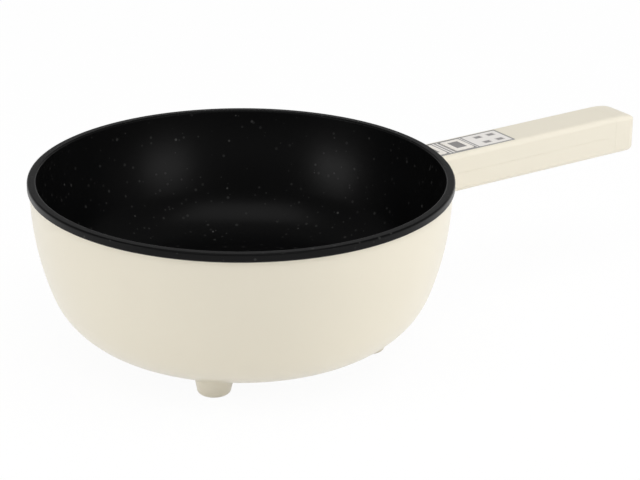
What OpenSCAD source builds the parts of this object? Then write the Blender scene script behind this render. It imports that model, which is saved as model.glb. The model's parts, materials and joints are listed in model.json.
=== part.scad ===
// Electric cooking pot: a non-stick pan in a rounded moulded shell, with a long bar handle
// that carries the push keys, the boards and the mains inlet. Millimetres, +Z up.
// The origin is on the pot's axis at the table, and the handle points along +X.

/* [Rim] */
// Outer diameter of the pan's rim
rim_d = 260; // [250:1:270]
// Height of the rim's top above the table
pot_h = 109.5; // [106:0.5:113]
// Width of the rim seen from above
rim_w = 5.5; // [5:0.1:6.2]
// Thickness of the rim's flange
rim_t = 4.7; // [4:0.1:5.4]
// Radius on the rim's edges
rim_edge_r = 1.2; // [0.6:0.1:1.4]
// How far the rim stands out past the shell
rim_overhang = 1.5; // [1:0.1:2]
// Thickness of the seal under the rim
seal_t = 0.8; // [0.5:0.1:1.2]

/* [Pan] */
// Wall of the pan
pan_wall = 2.3; // [2:0.1:2.6]
// Height of the pan's floor above the table
pan_floor = 35; // [33.5:0.5:39]
// Lean of the pan's wall at the rim, in degrees
pan_lean = 6; // [5:0.5:8]
// Radius of the pan's side, seen in section
pan_side_r = 160; // [140:1:190]
// Radius of the pan's lower corner
pan_corner_r = 42; // [38:1:46]

/* [Shell] */
// Wall of the shell
shell_wall = 2.2; // [1.8:0.1:2.4]
// Radius of the shell's side, seen in section
shell_side_r = 182; // [170:1:200]
// Radius of the shell's lower corner
shell_corner_r = 50; // [46:1:54]
// Flat band of the shell's floor around the base cover
service_band = 4.4; // [3:0.1:6]
// Width of the step that the base cover sits in
service_step = 6; // [4:0.5:7]

/* [Feet] */
// Height of the shell's floor above the table
foot_drop = 8; // [7:0.5:9]
// How far the feet stand out past the shell's flat floor
foot_out = 9.6; // [8:0.1:12]
// Diameter of a foot where it leaves the shell
foot_top_d = 25; // [22:0.5:27]
// Diameter of a foot near the table
foot_base_d = 20; // [18:0.5:22]
// Radius on a foot's lower edge
foot_edge_r = 3; // [1:0.5:3.5]
// Diameter of a foot's rubber pad
pad_d = 11; // [9:0.5:12]
// Thickness of a foot's rubber pad
pad_t = 3; // [2:0.1:3.5]
// How far a pad stands out of its foot
pad_proud = 0.8; // [0.4:0.1:1.2]

/* [Base cover] */
// Thickness of the base cover
cover_t = 1.6; // [1.3:0.1:1.8]
// Height of the base cover's inner ring
cover_ring_h = 4; // [3:0.1:5]
// Thickness of the base cover's inner ring
cover_ring_t = 2; // [1.6:0.1:2.5]
// Number of vent slots in the base cover
vent_count = 12; // [6:1:16]
// Width of a vent slot
vent_w = 2.5; // [2:0.1:3]
// Length of a vent slot
vent_l = 12; // [8:0.5:13]

/* [Handle] */
// Width of the handle
handle_w = 30; // [29:0.1:33]
// Height of the handle
handle_h = 26; // [25:0.1:27]
// Length of the handle past the rim
handle_len = 178; // [176:1:200]
// Drop from the rim's top to the handle's top
handle_drop = 12.5; // [11.5:0.1:13]
// Wall of the handle
handle_wall = 2.2; // [2:0.1:2.5]
// Radius on the handle's long edges
handle_edge_r = 3.5; // [2.5:0.1:4]
// Radius on the corners of the handle's free end
handle_end_r = 6; // [4:0.5:6.5]
// Thickness of the gasket between handle and shell
gasket_t = 0.8; // [0.4:0.1:1]

/* [Control panel] */
// Distance from the rim to the panel
panel_gap = 4.5; // [3.5:0.1:6]
// Length of the panel
panel_l = 71; // [71:0.5:74]
// Width of the panel
panel_w = 23; // [22.4:0.1:23.6]
// Thickness of the panel
panel_t = 1.2; // [1:0.1:1.3]
// Length of a key along the handle
key_l = 15; // [13:0.1:15.5]
// Width of a key across the handle
key_w = 18; // [15:0.1:18.2]
// How far a key stands out of the panel
key_proud = 0.4; // [0.2:0.1:0.8]
// Travel of a key
key_travel = 0.8; // [0.5:0.1:0.9]
// Distance from one key to the next
key_pitch = 22; // [21.5:0.1:22.5]
// Length of the dark inlay in a key
inlay_l = 8; // [6:0.1:9]
// Width of the dark inlay in a key
inlay_w = 11; // [8:0.1:12]
// Length of an indicator window
window_l = 4.4; // [3:0.1:5]
// Width of an indicator window
window_w = 3; // [2:0.1:4]
// Distance between indicator windows along the handle
window_pitch_l = 10.5; // [9:0.1:11]
// Distance between indicator windows across the handle
window_pitch_w = 10; // [8:0.1:11]

/* [Heater] */
// Radius of the heating coil, to the middle of its tube
coil_r = 52; // [51:0.5:53]
// Diameter of the heating tube
tube_d = 7; // [6:0.1:7.4]
// Angle that the coil leaves open towards the handle
coil_gap = 50; // [40:1:60]
// Diameter of the coil's terminal pins
pin_d = 3; // [2.5:0.1:3.4]
// Thickness of the clamp plate under the coil
clamp_t = 1.2; // [1:0.1:1.5]
// Radius of the clamp plate
clamp_r = 60; // [59:0.5:62]
// Radius of the circle of the pan's cover posts
post_circle_r = 42; // [41:0.5:42.5]
// Diameter of a cover post
post_d = 8; // [7:0.1:8.2]
// Thickness of the heat shield
shield_t = 0.6; // [0.4:0.1:0.8]

/* [Mains inlet] */
// Width of the inlet's cavity
inlet_w = 24.3; // [23.5:0.1:24.6]
// Height of the inlet's cavity
inlet_h = 16.3; // [15.8:0.1:17]
// Depth of the inlet's cavity
inlet_depth = 15; // [14:0.5:16]
// Spacing of the live and neutral pins
inlet_pitch = 14; // [13.5:0.1:14.5]
// Offset of the earth pin from the other two
earth_offset = 4; // [3.5:0.1:4.5]

/* [Leads and fasteners] */
// Diameter of the mains leads
lead_d = 2.2; // [1.8:0.1:2.4]
// Shank diameter of the larger screws
screw_d = 3; // [2.6:0.1:3.2]
// Head diameter of the larger screws
head_d = 6; // [5.4:0.1:6.2]
// Head height of the larger screws
head_t = 2; // [1.6:0.1:2.1]

/* [Hidden] */
$fn = 64;

// Colours, as seen on the object
cream = "#eae2cf";
coating = "#191919";
silicone_black = "#222222";
steel = "#b9bcc0";
aluminium_grey = "#c9ccd0";
panel_white = "#f1ece6";
mark_grey = "#7d7a78";
board_green = "#2f6b4a";
rubber_pale = "#d8d0be";

// Clearances
fit_gap = 0.15;
free_gap = 0.5;
touch_gap = 0.1;
over = 1;

// Heights and radii of the pot, from the rim down
rim_r = rim_d / 2;
rim_low = pot_h - rim_t;
shell_top = rim_low - seal_t;
shell_r = rim_r - rim_overhang;
shell_base = foot_drop;
pan_r = rim_r - rim_w;
pan_under = pan_floor - pan_wall;

// Heater stack, hung under the pan's floor
coil_z = pan_under - touch_gap - tube_d / 2;
clamp_top = coil_z - tube_d / 2 - touch_gap;
clamp_low = clamp_top - clamp_t;
stud_r = 25;
stud_d = 4;
nut_af = 7;
nut_t = 3;
stud_proud = 1;
leg_d = 5;
leg_proud = 0.2;
leg_low = clamp_low - leg_proud;
terminal_l = 5.1;
terminal_low = leg_low - terminal_l;
bush_d = 7;
bush_t = 2;
terminal_x = coil_r * cos(coil_gap / 2);
terminal_y = coil_r * sin(coil_gap / 2);
probe_d = 12;
probe_h = 5;
probe_hole_d = probe_d + 4;
spring_d = 8;
spring_wire = 1;
spring_turns = 4;
spring_h = 6.2;
holder_w = 9;
holder_t = 1;
holder_leg = 16;
holder_top = pan_under - touch_gap - probe_h - spring_h;
thermostat_d = 15;
thermostat_h = 8;
thermostat_x = -30;
tab_l = 6;
tab_w = 6.3;
tab_t = 0.8;
tab_rise = 2;
fuse_d = 4;
fuse_l = 12;
fuse_y = -30;
clip_l = 6;
clip_t = 1;
earth_x = -8;
earth_y = 33;
earth_plate = 9;
earth_t = 1;

// Levels of the base cover and the shield
cover_top = shell_base + cover_t;
shield_z = cover_top + cover_ring_h;
boss_h = 3.6;
boss_d = head_d + 3;
shield_edge = 11.5;
shield_r = post_circle_r + post_d / 2 + free_gap + shield_edge;
post_low = shell_base + boss_h;
vent_r = 24;

// Screw lengths and the play around heads and shanks
head_play = 0.4;
head_sink = 0.2;
base_hole_l = 12;
base_screw_l = 11;
bracket_hole_l = 4;
bracket_grip = 3.8;
tongue_grip = 6;
handle_sink = 5;
handle_grip = 6;
handle_hole_l = 8;
small_screw_d = 1.6;
small_head_d = 3.2;
small_head_t = 1.2;
small_hole_d = 2.2;
small_post_d = 3.6;
small_hole_l = 5;
slot_l = 0.6;
slot_w = 0.15;
slot_deep = 0.45;

// Handle levels
handle_top = pot_h - handle_drop;
handle_mid = handle_top - handle_h / 2;
handle_low = handle_top - handle_h;
handle_end = rim_r + handle_len;
inner_top = handle_top - handle_wall;
inner_low = handle_low + handle_wall;
inner_w = handle_w - 2 * handle_wall;
inlet_floor = 3;
cap_len = inlet_depth + inlet_floor;
cap_x = handle_end - cap_len;
spigot_l = 5;
root_x = rim_r - 22;
inner_edge_r = 0.8;
weld = 0.5;
handle_post_d = 7;
gasket_x = rim_r + 2;

// Opening through the shell into the handle, and the bracket in it
door_w = inner_w;
door_low = inner_low + 0.3;
door_top = inner_top - 0.8;
plate_w = 22;
plate_down = 4;
plate_up = 9;
plate_low = handle_mid - plate_down;
plate_top = handle_mid + plate_up;
plate_in = 2;
plate_x = shell_r - plate_in;
plate_t = 1.5;
tongue_w = 16;
tongue_t = 2;
tongue_low = handle_mid - tongue_t;
tongue_l = 42;
tongue_end = rim_r + tongue_l;
tongue_first = 20;
tongue_pitch = 15;
tongue_posts = [rim_r + tongue_first, rim_r + tongue_first + tongue_pitch];
tongue_hole_low = handle_low + 3.5;
lug_x = pan_r - 12;
bracket_screw_y = 6.5;
bracket_screw_up = 5;
bracket_screw_z = handle_mid + bracket_screw_up;

// Control panel layout along the handle
panel_x = rim_r + panel_gap;
panel_low = handle_top - panel_t;
first_key_x = panel_x + 9.7;
key_xs = [first_key_x, first_key_x + key_pitch];
window_x = panel_x + 57.8;
lip = 1;
key_lip_t = 1;
key_top = handle_top + key_proud;
inlay_t = 0.6;
board_t = 1.6;
board_top = inner_top - 6.4;
board_w = inner_w - 1.6;
board_x0 = panel_x + 1;
board_x1 = panel_x + panel_l;
board_post_xs = [first_key_x + key_pitch / 2, first_key_x + 1.5 * key_pitch];
board_post_y = 8.5;
board_posts = [for (x = board_post_xs) for (side = [-1, 1]) [x, side * board_post_y]];
switch_w = 6;
switch_h = 3.5;
plunger_d = 3.2;
plunger_top = board_top + switch_h + 1;
plunger_in = 1.5;
plunger_play = 0.2;
led_l = 3.2;
led_w = 2.6;
led_h = 1.4;
guide_t = 1.2;
guide_edge = 1.5;
key_corner_r = 1.2;
stem_d = plunger_d + 1;

// Power board
front_post_x = board_x1 + handle_post_d / 2;
pboard_gap = 1.5;
pboard_l = 39;
pboard_x0 = front_post_x + handle_post_d / 2 + pboard_gap;
pboard_x1 = pboard_x0 + pboard_l;
rear_post_x = pboard_x1 + pboard_gap + handle_post_d / 2;
handle_posts = [front_post_x, rear_post_x];
pboard_low = inner_low + 2.8;
pboard_top = pboard_low + board_t;
pboard_w = 22;
pboard_post_y = 9;
pboard_post_xs = [pboard_x0 + 3, pboard_x1 - 3];
block_l = 7;
block_x = pboard_x0 + 1;
block_y0 = -10.5;
block_y1 = 7;
block_h = 8;
relay_l = 18;
relay_w = 15;
relay_h = 12;
relay_x = block_x + block_l + 2.5;
capacitor_l = 5.5;
capacitor_w = 13;
capacitor_h = 10;
capacitor_x = relay_x + relay_l + 0.8;
ribbon_w = 3;
ribbon_t = 0.6;
ribbon_x0 = board_x1 - 3;
ribbon_x1 = block_x + block_l + 1;
pin_tail = 3;
pin_x = cap_x - spigot_l - pin_tail;
pin_recess = 1.5;
blade_w = 2;
blade_h = 4;
inlet_corner = 4;

// Leads inside the pot, as named points on their way
lead_run_z = handle_mid - 4;
lead_door_z = handle_mid - 8.2;
lead_gap = 0.3;
lead_low_z = shield_z + shield_t + 2.4;
lead_block_z = pboard_top + block_h / 2 - 1.6;
lead_bend_x = tongue_posts[1] + 20;
lead_steps = 4;
sensor_bend = [48, -8, lead_low_z];
sensor_turn = [28, -9, lead_low_z];
live_y = -9.8;
sensor_y = -6.5;
neutral_y = 6.2;
earth_lead_y = 10;

// Points of an arc about c, with the first one left out where it joins another arc
function arc(c, r, a0, a1, n, first = 0) =
    [for (i = [first : n]) let (a = a0 + (a1 - a0) * i / n) [c[0] + r * cos(a), c[1] + r * sin(a)]];

// A bowl's section: side arc and corner arc that meet smoothly, down to a flat floor
function bowl(r0, z0, lean, side_r, corner_r, base_z) =
    let (c1 = [r0 - side_r * cos(lean), z0 + side_r * sin(lean)],
         turn = asin((c1[1] - base_z - corner_r) / (side_r - corner_r)),
         c2 = [c1[0] + (side_r - corner_r) * cos(turn), base_z + corner_r])
    [c1, side_r, c2, corner_r, lean, turn];

// Outline of a bowl from its top to its floor, grown outwards by g
function bowl_line(b, g = 0, start = undef) = concat(
    arc(b[0], b[1] + g, is_undef(start) ? -b[4] : -start, -b[5], 7),
    arc(b[2], b[3] + g, -b[5], -90, 14, 1));

// Radius of a bowl at height z
function bowl_r(b, z, g = 0) =
    z > b[0][1] - (b[1] + g) * sin(b[5])
        ? b[0][0] + sqrt(pow(b[1] + g, 2) - pow(b[0][1] - z, 2))
        : b[2][0] + sqrt(pow(b[3] + g, 2) - pow(b[2][1] - z, 2));

// Radius halfway between the pan and the shell at height z
function mid_r(z) = (bowl_r(pan_bowl, z, pan_wall) + bowl_r(shell_bowl, z, -shell_wall)) / 2;

function reversed(list) = [for (i = [len(list) - 1 : -1 : 0]) list[i]];

function round_rect(w, h, r) = concat(
    arc([w / 2 - r, h / 2 - r], r, 0, 90, 5), arc([r - w / 2, h / 2 - r], r, 90, 180, 5),
    arc([r - w / 2, r - h / 2], r, 180, 270, 5), arc([w / 2 - r, r - h / 2], r, 270, 360, 5));

pan_bowl = bowl(pan_r, pot_h - rim_edge_r, pan_lean, pan_side_r, pan_corner_r, pan_floor);
shell_bowl = bowl(shell_r, shell_top, 0, shell_side_r, shell_corner_r, shell_base);

// Base cover and feet, set out from the shell's flat floor
flat_r = shell_bowl[2][0];
step_r = flat_r - service_band;
service_r = step_r - service_step;
cover_r = step_r - fit_gap;
ring_inset = 2;
ring_r = service_r - ring_inset;
foot_circle_r = flat_r + foot_out;
foot_root = shell_base + 7;

module bowl_solid(b, g, top) {
    line = bowl_line(b, g);
    rotate_extrude($fn = 128)
        polygon(concat([[0, top], [line[0][0], top]], line, [[0, line[len(line) - 1][1]]]));
}

// A tube swept along points, with flat ends
module swept_tube(points, d, sides = 8, side_way = [0, 1, 0]) {
    n = len(points);
    rings = [for (i = [0 : n - 1])
        let (ahead = points[min(i + 1, n - 1)] - points[max(i - 1, 0)],
             t = ahead / norm(ahead),
             u = cross(t, side_way) / norm(cross(t, side_way)),
             v = cross(t, u))
        for (k = [0 : sides - 1]) points[i] + d / 2 * (cos(360 * k / sides) * u + sin(360 * k / sides) * v)];
    faces = concat(
        [for (i = [0 : n - 2]) for (k = [0 : sides - 1]) let (m = (k + 1) % sides)
            each [[i * sides + k, (i + 1) * sides + k, (i + 1) * sides + m],
                  [i * sides + k, (i + 1) * sides + m, i * sides + m]]],
        [for (k = [1 : sides - 2]) each [[0, k, k + 1],
            [(n - 1) * sides, (n - 1) * sides + k + 1, (n - 1) * sides + k]]]);
    polyhedron(rings, faces);
}

// Smooth curve through points
function curve(p, steps) = concat(
    [for (i = [0 : len(p) - 2]) for (s = [0 : steps - 1])
        let (t = s / steps, a = p[max(i - 1, 0)], b = p[i], c = p[i + 1], d = p[min(i + 2, len(p) - 1)])
        0.5 * (2 * b + (c - a) * t + (2 * a - 5 * b + 4 * c - d) * t * t
            + (3 * b - a - 3 * c + d) * t * t * t)],
    [p[len(p) - 1]]);

module at_feet() {
    for (a = [45 : 90 : 315]) rotate(a) translate([foot_circle_r, 0, 0]) children();
}

module at_posts() {
    for (a = [45 : 90 : 315]) rotate(a) translate([post_circle_r, 0, 0]) children();
}

module at_studs() {
    for (a = [0 : 120 : 240]) rotate(a) translate([stud_r, 0, 0]) children();
}

// A box given by its lowest and highest corners
module block(low, high) {
    translate(low) cube(high - low);
}

// A pan-head screw pointing up from z = 0, head below
module screw(shank_d, shank_l, cap_d, cap_t) {
    cylinder(d = shank_d, h = shank_l);
    difference() {
        translate([0, 0, -cap_t]) cylinder(d = cap_d, h = cap_t);
        for (a = [0, 90]) rotate(a)
            block([-slot_l * cap_d / 2, -slot_w * cap_d / 2, -cap_t - over],
                  [slot_l * cap_d / 2, slot_w * cap_d / 2, (slot_deep - 1) * cap_t]);
    }
}

// Pan, seal, shell and base

module inner_pan() {
    start = asin((pan_bowl[0][1] - rim_low) / (pan_bowl[1] + pan_wall));
    e = rim_edge_r;
    color(coating) difference() {
        union() {
            rotate_extrude($fn = 128) polygon(concat(
                bowl_line(pan_bowl), [[0, pan_floor], [0, pan_under]],
                reversed(bowl_line(pan_bowl, pan_wall, start)),
                arc([rim_r - e, rim_low + e], e, -90, 0, 4), arc([rim_r - e, pot_h - e], e, 0, 90, 4),
                arc([pan_r + e, pot_h - e], e, 90, 180, 4)));
            at_posts() translate([0, 0, post_low]) cylinder(d = post_d, h = pan_under - post_low + over);
            difference() {
                block([lug_x, -plate_w / 2, plate_low], [plate_x, plate_w / 2, plate_top]);
                bowl_solid(pan_bowl, pan_wall / 2, plate_top + over);
            }
        }
        at_posts() translate([0, 0, post_low - over]) cylinder(d = screw_d, h = base_hole_l + over);
        for (y = [-1, 1]) translate([plate_x + over, y * bracket_screw_y, bracket_screw_z])
            rotate([0, -90, 0]) cylinder(d = screw_d, h = bracket_hole_l + over);
    }
}

module rim_seal() {
    inner = bowl_r(pan_bowl, rim_low, pan_wall) + fit_gap;
    color(silicone_black) rotate_extrude($fn = 128)
        translate([inner, shell_top]) square([shell_r - inner, seal_t]);
}

// One moulded foot, drawn standing on the table
module foot() {
    r = foot_base_d / 2;
    e = foot_edge_r;
    rotate_extrude() polygon(concat(
        [[0, pad_proud]], arc([r - e, pad_proud + e], e, -90, 0, 4),
        [[foot_top_d / 2, shell_base + shell_wall], [foot_top_d / 2, foot_root], [0, foot_root]]));
}

module outer_shell() {
    line = bowl_line(shell_bowl);
    inside = bowl_line(shell_bowl, -shell_wall);
    color(cream) difference() {
        union() {
            rotate_extrude($fn = 128) polygon(concat(
                line, [[step_r, shell_base], [step_r, cover_top],
                       [service_r, cover_top], [service_r, shell_base + shell_wall]],
                reversed(inside)));
            difference() {
                at_feet() foot();
                bowl_solid(shell_bowl, -shell_wall / 2, shell_top + over);
            }
        }
        at_feet() translate([0, 0, pad_proud - over]) cylinder(d = pad_d, h = pad_t - pad_proud + over);
        block([root_x, -door_w / 2, door_low], [rim_r + over, door_w / 2, door_top]);
    }
}

module foot_pads() {
    color(rubber_pale) at_feet() cylinder(d = pad_d, h = pad_t);
}

module base_cover() {
    color(cream) difference() {
        union() {
            translate([0, 0, shell_base]) cylinder(r = cover_r, h = cover_t, $fn = 128);
            translate([0, 0, cover_top - touch_gap]) difference() {
                cylinder(r = ring_r, h = cover_ring_h + touch_gap, $fn = 128);
                translate([0, 0, -over])
                    cylinder(r = ring_r - cover_ring_t, h = cover_ring_h + 2 * over, $fn = 128);
            }
            at_posts() translate([0, 0, shell_base]) cylinder(d = boss_d, h = boss_h);
        }
        at_posts() {
            translate([0, 0, shell_base - over])
                cylinder(d = head_d + head_play, h = head_t + head_sink + over);
            translate([0, 0, shell_base]) cylinder(d = screw_d + head_play, h = boss_h + over);
        }
        for (i = [0 : vent_count - 1]) rotate(360 * i / vent_count)
            block([vent_r - vent_l / 2, -vent_w / 2, shell_base - over],
                  [vent_r + vent_l / 2, vent_w / 2, cover_top + over]);
    }
}

module base_screws() {
    color(steel) at_posts() translate([0, 0, shell_base + head_t + head_sink])
        screw(screw_d, base_screw_l, head_d, head_t);
}

module heat_shield() {
    color(aluminium_grey) translate([0, 0, shield_z]) difference() {
        cylinder(r = shield_r, h = shield_t, $fn = 128);
        at_posts() translate([0, 0, -over]) cylinder(d = post_d + 2 * free_gap, h = shield_t + 2 * over);
    }
}

// Heater and its controls under the pan

module at_terminals() {
    for (side = [-1, 1]) translate([terminal_x, side * terminal_y, 0]) children();
}

// The coil runs a little past its legs, which turn down to the terminals
module heating_element() {
    open = coil_gap - 2 * asin(tube_d / 2 / coil_r);
    color(steel) union() {
        rotate(open / 2) rotate_extrude(angle = 360 - open, $fn = 128)
            translate([coil_r, coil_z]) circle(d = tube_d, $fn = 32);
        at_terminals() translate([0, 0, leg_low]) cylinder(d = leg_d, h = coil_z - leg_low);
    }
}

module terminal_bushes() {
    color("#e8e4dc") at_terminals() translate([0, 0, leg_low - bush_t]) difference() {
        cylinder(d = bush_d, h = bush_t);
        translate([0, 0, -over]) cylinder(d = pin_d + fit_gap, h = bush_t + 2 * over);
    }
}

module terminal_pins() {
    color(steel) at_terminals() translate([0, 0, terminal_low]) cylinder(d = pin_d, h = terminal_l);
}

module heater_clamp() {
    color(aluminium_grey) translate([0, 0, clamp_low]) difference() {
        cylinder(r = clamp_r, h = clamp_t, $fn = 128);
        translate([0, 0, -over]) {
            cylinder(d = probe_hole_d, h = clamp_t + 2 * over);
            at_posts() cylinder(d = post_d + 2 * free_gap, h = clamp_t + 2 * over);
            at_studs() cylinder(d = stud_d + 2 * fit_gap, h = clamp_t + 2 * over);
            at_terminals() cylinder(d = leg_d + 2 * free_gap, h = clamp_t + 2 * over);
            translate([earth_x, earth_y, 0]) cylinder(d = screw_d, h = clamp_t + 2 * over);
        }
    }
}

module clamp_studs() {
    color(steel) at_studs() translate([0, 0, clamp_low - nut_t - stud_proud])
        cylinder(d = stud_d, h = pan_under - clamp_low + nut_t + stud_proud);
}

module clamp_nuts() {
    color(steel) at_studs() translate([0, 0, clamp_low - nut_t]) difference() {
        cylinder(d = nut_af / cos(30), h = nut_t, $fn = 6);
        translate([0, 0, -over]) cylinder(d = stud_d + fit_gap, h = nut_t + 2 * over);
    }
}

module sensor_probe() {
    color(aluminium_grey) translate([0, 0, pan_under - touch_gap - probe_h])
        cylinder(d = probe_d, h = probe_h);
}

module sensor_spring() {
    low = holder_top + spring_wire / 2 + touch_gap;
    high = pan_under - touch_gap - probe_h - spring_wire / 2 - touch_gap;
    r = (spring_d - spring_wire) / 2;
    n = 10 * spring_turns;
    coil = [for (i = [0 : n]) let (a = 360 * spring_turns * i / n)
        [r * cos(a), r * sin(a), low + (high - low) * i / n]];
    color(steel) swept_tube(coil, spring_wire, 6, [0, 0, 1]);
}

module sensor_holder() {
    color(steel) {
        block([-holder_leg, -holder_w / 2, holder_top - holder_t], [holder_leg, holder_w / 2, holder_top]);
        for (side = [-1, 1]) translate([side * (holder_leg - holder_t / 2), 0, 0])
            block([-holder_t / 2, -holder_w / 2, holder_top - holder_t],
                  [holder_t / 2, holder_w / 2, clamp_low]);
    }
}

module thermostat() {
    reach = thermostat_d / 2 + tab_l;
    color("#3a3a3c") translate([thermostat_x, 0, clamp_low - thermostat_h]) union() {
        cylinder(d = thermostat_d, h = thermostat_h);
        block([-tab_w / 2, -reach, tab_rise], [tab_w / 2, reach, tab_rise + tab_t]);
    }
}

module thermal_fuse() {
    color("#e3dccb") translate([-fuse_l / 2, fuse_y, clamp_low - touch_gap - fuse_d / 2])
        rotate([0, 90, 0]) cylinder(d = fuse_d, h = fuse_l);
}

module fuse_clip() {
    low = clamp_low - 2 * touch_gap - fuse_d;
    inside = fuse_d / 2 + fit_gap;
    color(steel) translate([0, fuse_y, 0]) difference() {
        block([-clip_l / 2, -inside - clip_t, low - clip_t], [clip_l / 2, inside + clip_t, clamp_low]);
        block([-clip_l, -inside, low], [clip_l, inside, clamp_low + over]);
    }
}

module earth_tab() {
    color(steel) translate([earth_x, earth_y, clamp_low - earth_t]) difference() {
        block([-earth_plate / 2, -earth_plate / 2, 0], [earth_plate / 2, earth_plate / 2, earth_t]);
        translate([0, 0, -over]) cylinder(d = screw_d + 2 * fit_gap, h = earth_t + 2 * over);
    }
}

module earth_screw() {
    color(steel) translate([earth_x, earth_y, clamp_low - earth_t])
        screw(screw_d, earth_t + clamp_t, head_d, head_t);
}

// Handle and what holds it

module handle_bar(x0, x1, inset = 0) {
    r = max(handle_edge_r - inset, inner_edge_r);
    translate([x0, 0, handle_mid]) rotate([90, 0, 90]) linear_extrude(x1 - x0)
        polygon(round_rect(handle_w - 2 * inset, handle_h - 2 * inset, r));
}

module handle_tube() {
    difference() {
        handle_bar(root_x, cap_x);
        handle_bar(root_x - over, cap_x + over, handle_wall);
        bowl_solid(shell_bowl, gasket_t, shell_top);
    }
}

module handle_gasket() {
    color(rubber_pale) difference() {
        intersection() {
            difference() {
                handle_bar(root_x, gasket_x);
                handle_bar(root_x - over, gasket_x + over, handle_wall);
            }
            bowl_solid(shell_bowl, gasket_t, shell_top);
        }
        bowl_solid(shell_bowl, 0, shell_top + over);
    }
}

module handle_lower() {
    color(cream) difference() {
        union() {
            difference() {
                handle_tube();
                block([root_x - over, -handle_w, handle_mid], [cap_x + over, handle_w, handle_top + over]);
            }
            for (x = handle_posts) translate([x, 0, handle_low + over])
                cylinder(d = handle_post_d, h = handle_mid - handle_low - over);
            for (x = tongue_posts) translate([x, 0, handle_low + over])
                cylinder(d = handle_post_d, h = tongue_low - handle_low - over);
            for (x = pboard_post_xs) translate([x, pboard_post_y, handle_low + over])
                cylinder(d = small_post_d, h = pboard_low - handle_low - over);
        }
        for (x = handle_posts) translate([x, 0, handle_low - over]) {
            cylinder(d = head_d + head_play, h = handle_sink + over);
            cylinder(d = screw_d + head_play, h = handle_h);
        }
        for (x = tongue_posts) translate([x, 0, tongue_hole_low]) cylinder(d = screw_d, h = handle_h);
        for (x = pboard_post_xs) translate([x, pboard_post_y, pboard_top - small_hole_l])
            cylinder(d = small_screw_d, h = handle_h);
    }
}

module handle_upper() {
    color(cream) difference() {
        union() {
            difference() {
                handle_tube();
                block([root_x - over, -handle_w, handle_low - over], [cap_x + over, handle_w, handle_mid]);
            }
            for (x = handle_posts) translate([x, 0, handle_mid])
                cylinder(d = handle_post_d, h = inner_top - handle_mid + weld);
            for (p = board_posts) translate([p[0], p[1], board_top])
                cylinder(d = small_post_d, h = inner_top - board_top + weld);
        }
        for (x = handle_posts) translate([x, 0, handle_mid - over])
            cylinder(d = screw_d, h = handle_hole_l + over);
        for (p = board_posts) translate([p[0], p[1], board_top - over])
            cylinder(d = small_screw_d, h = small_hole_l + over);
        block([panel_x - fit_gap, -panel_w / 2 - fit_gap, panel_low],
              [panel_x + panel_l + fit_gap, panel_w / 2 + fit_gap, handle_top + over]);
        for (x = key_xs) translate([x, 0, inner_top - over]) linear_extrude(handle_wall + 2 * over)
            square([key_l + 2 * lip + 2 * free_gap, key_w + 2 * lip + 2 * free_gap], center = true);
        at_windows() translate([0, 0, inner_top - over]) linear_extrude(handle_wall + 2 * over)
            square([window_l + 2 * fit_gap, window_w + 2 * fit_gap], center = true);
    }
}

module handle_screws() {
    color(steel) for (x = handle_posts) translate([x, 0, handle_low + handle_sink])
        screw(screw_d, handle_h / 2 - handle_sink + handle_grip, head_d, head_t);
}

module handle_bracket() {
    color(steel) difference() {
        union() {
            block([plate_x, -plate_w / 2, plate_low], [plate_x + plate_t, plate_w / 2, plate_top]);
            block([plate_x, -tongue_w / 2, tongue_low], [tongue_end, tongue_w / 2, tongue_low + tongue_t]);
        }
        for (y = [-1, 1]) translate([plate_x - over, y * bracket_screw_y, bracket_screw_z])
            rotate([0, 90, 0]) cylinder(d = screw_d + head_play, h = plate_t + 2 * over);
        for (x = tongue_posts) translate([x, 0, tongue_low - over])
            cylinder(d = screw_d + head_play, h = tongue_t + 2 * over);
    }
}

module bracket_screws() {
    color(steel) for (y = [-1, 1]) translate([plate_x + plate_t, y * bracket_screw_y, bracket_screw_z])
        rotate([0, -90, 0]) screw(screw_d, plate_t + bracket_grip, head_d, head_t);
}

module tongue_screws() {
    color(steel) for (x = tongue_posts) translate([x, 0, tongue_low + tongue_t])
        rotate([180, 0, 0]) screw(screw_d, tongue_t + tongue_grip, head_d, head_t);
}

// Mains inlet in the handle's end

module inlet_cavity() {
    c = inlet_corner;
    w = inlet_w / 2;
    h = inlet_h / 2;
    translate([cap_x + inlet_floor, 0, handle_mid]) rotate([90, 0, 90]) linear_extrude(inlet_depth + over)
        polygon([[-w, -h], [w, -h], [w, h - c], [w - c, h], [c - w, h], [-w, h - c]]);
}

module at_inlet_pins() {
    half = inlet_pitch / 2;
    for (p = [[-half, -earth_offset / 2], [half, -earth_offset / 2], [0, earth_offset / 2]])
        translate([0, p[0], handle_mid + p[1]]) children();
}

// The handle's end as a bar with rounded corners seen from above and from the side
module end_bar() {
    r = handle_end_r;
    e = handle_edge_r;
    intersection() {
        handle_bar(cap_x, handle_end);
        translate([0, 0, handle_low - over]) linear_extrude(handle_h + 2 * over) polygon(concat(
            [[cap_x, handle_w / 2], [cap_x, -handle_w / 2]],
            arc([handle_end - r, r - handle_w / 2], r, -90, 0, 6),
            arc([handle_end - r, handle_w / 2 - r], r, 0, 90, 6)));
        translate([0, handle_w, handle_mid]) rotate([90, 0, 0]) linear_extrude(2 * handle_w) polygon(concat(
            [[cap_x, handle_h / 2], [cap_x, -handle_h / 2]],
            arc([handle_end - e, e - handle_h / 2], e, -90, 0, 5),
            arc([handle_end - e, handle_h / 2 - e], e, 0, 90, 5)));
    }
}

module inlet_cap() {
    color(cream) difference() {
        union() {
            end_bar();
            handle_bar(cap_x - spigot_l, cap_x + over, handle_wall + fit_gap);
        }
        inlet_cavity();
        at_inlet_pins() block([cap_x - spigot_l - over, -blade_w / 2, -blade_h / 2],
                              [handle_end, blade_w / 2, blade_h / 2]);
    }
}

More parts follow.
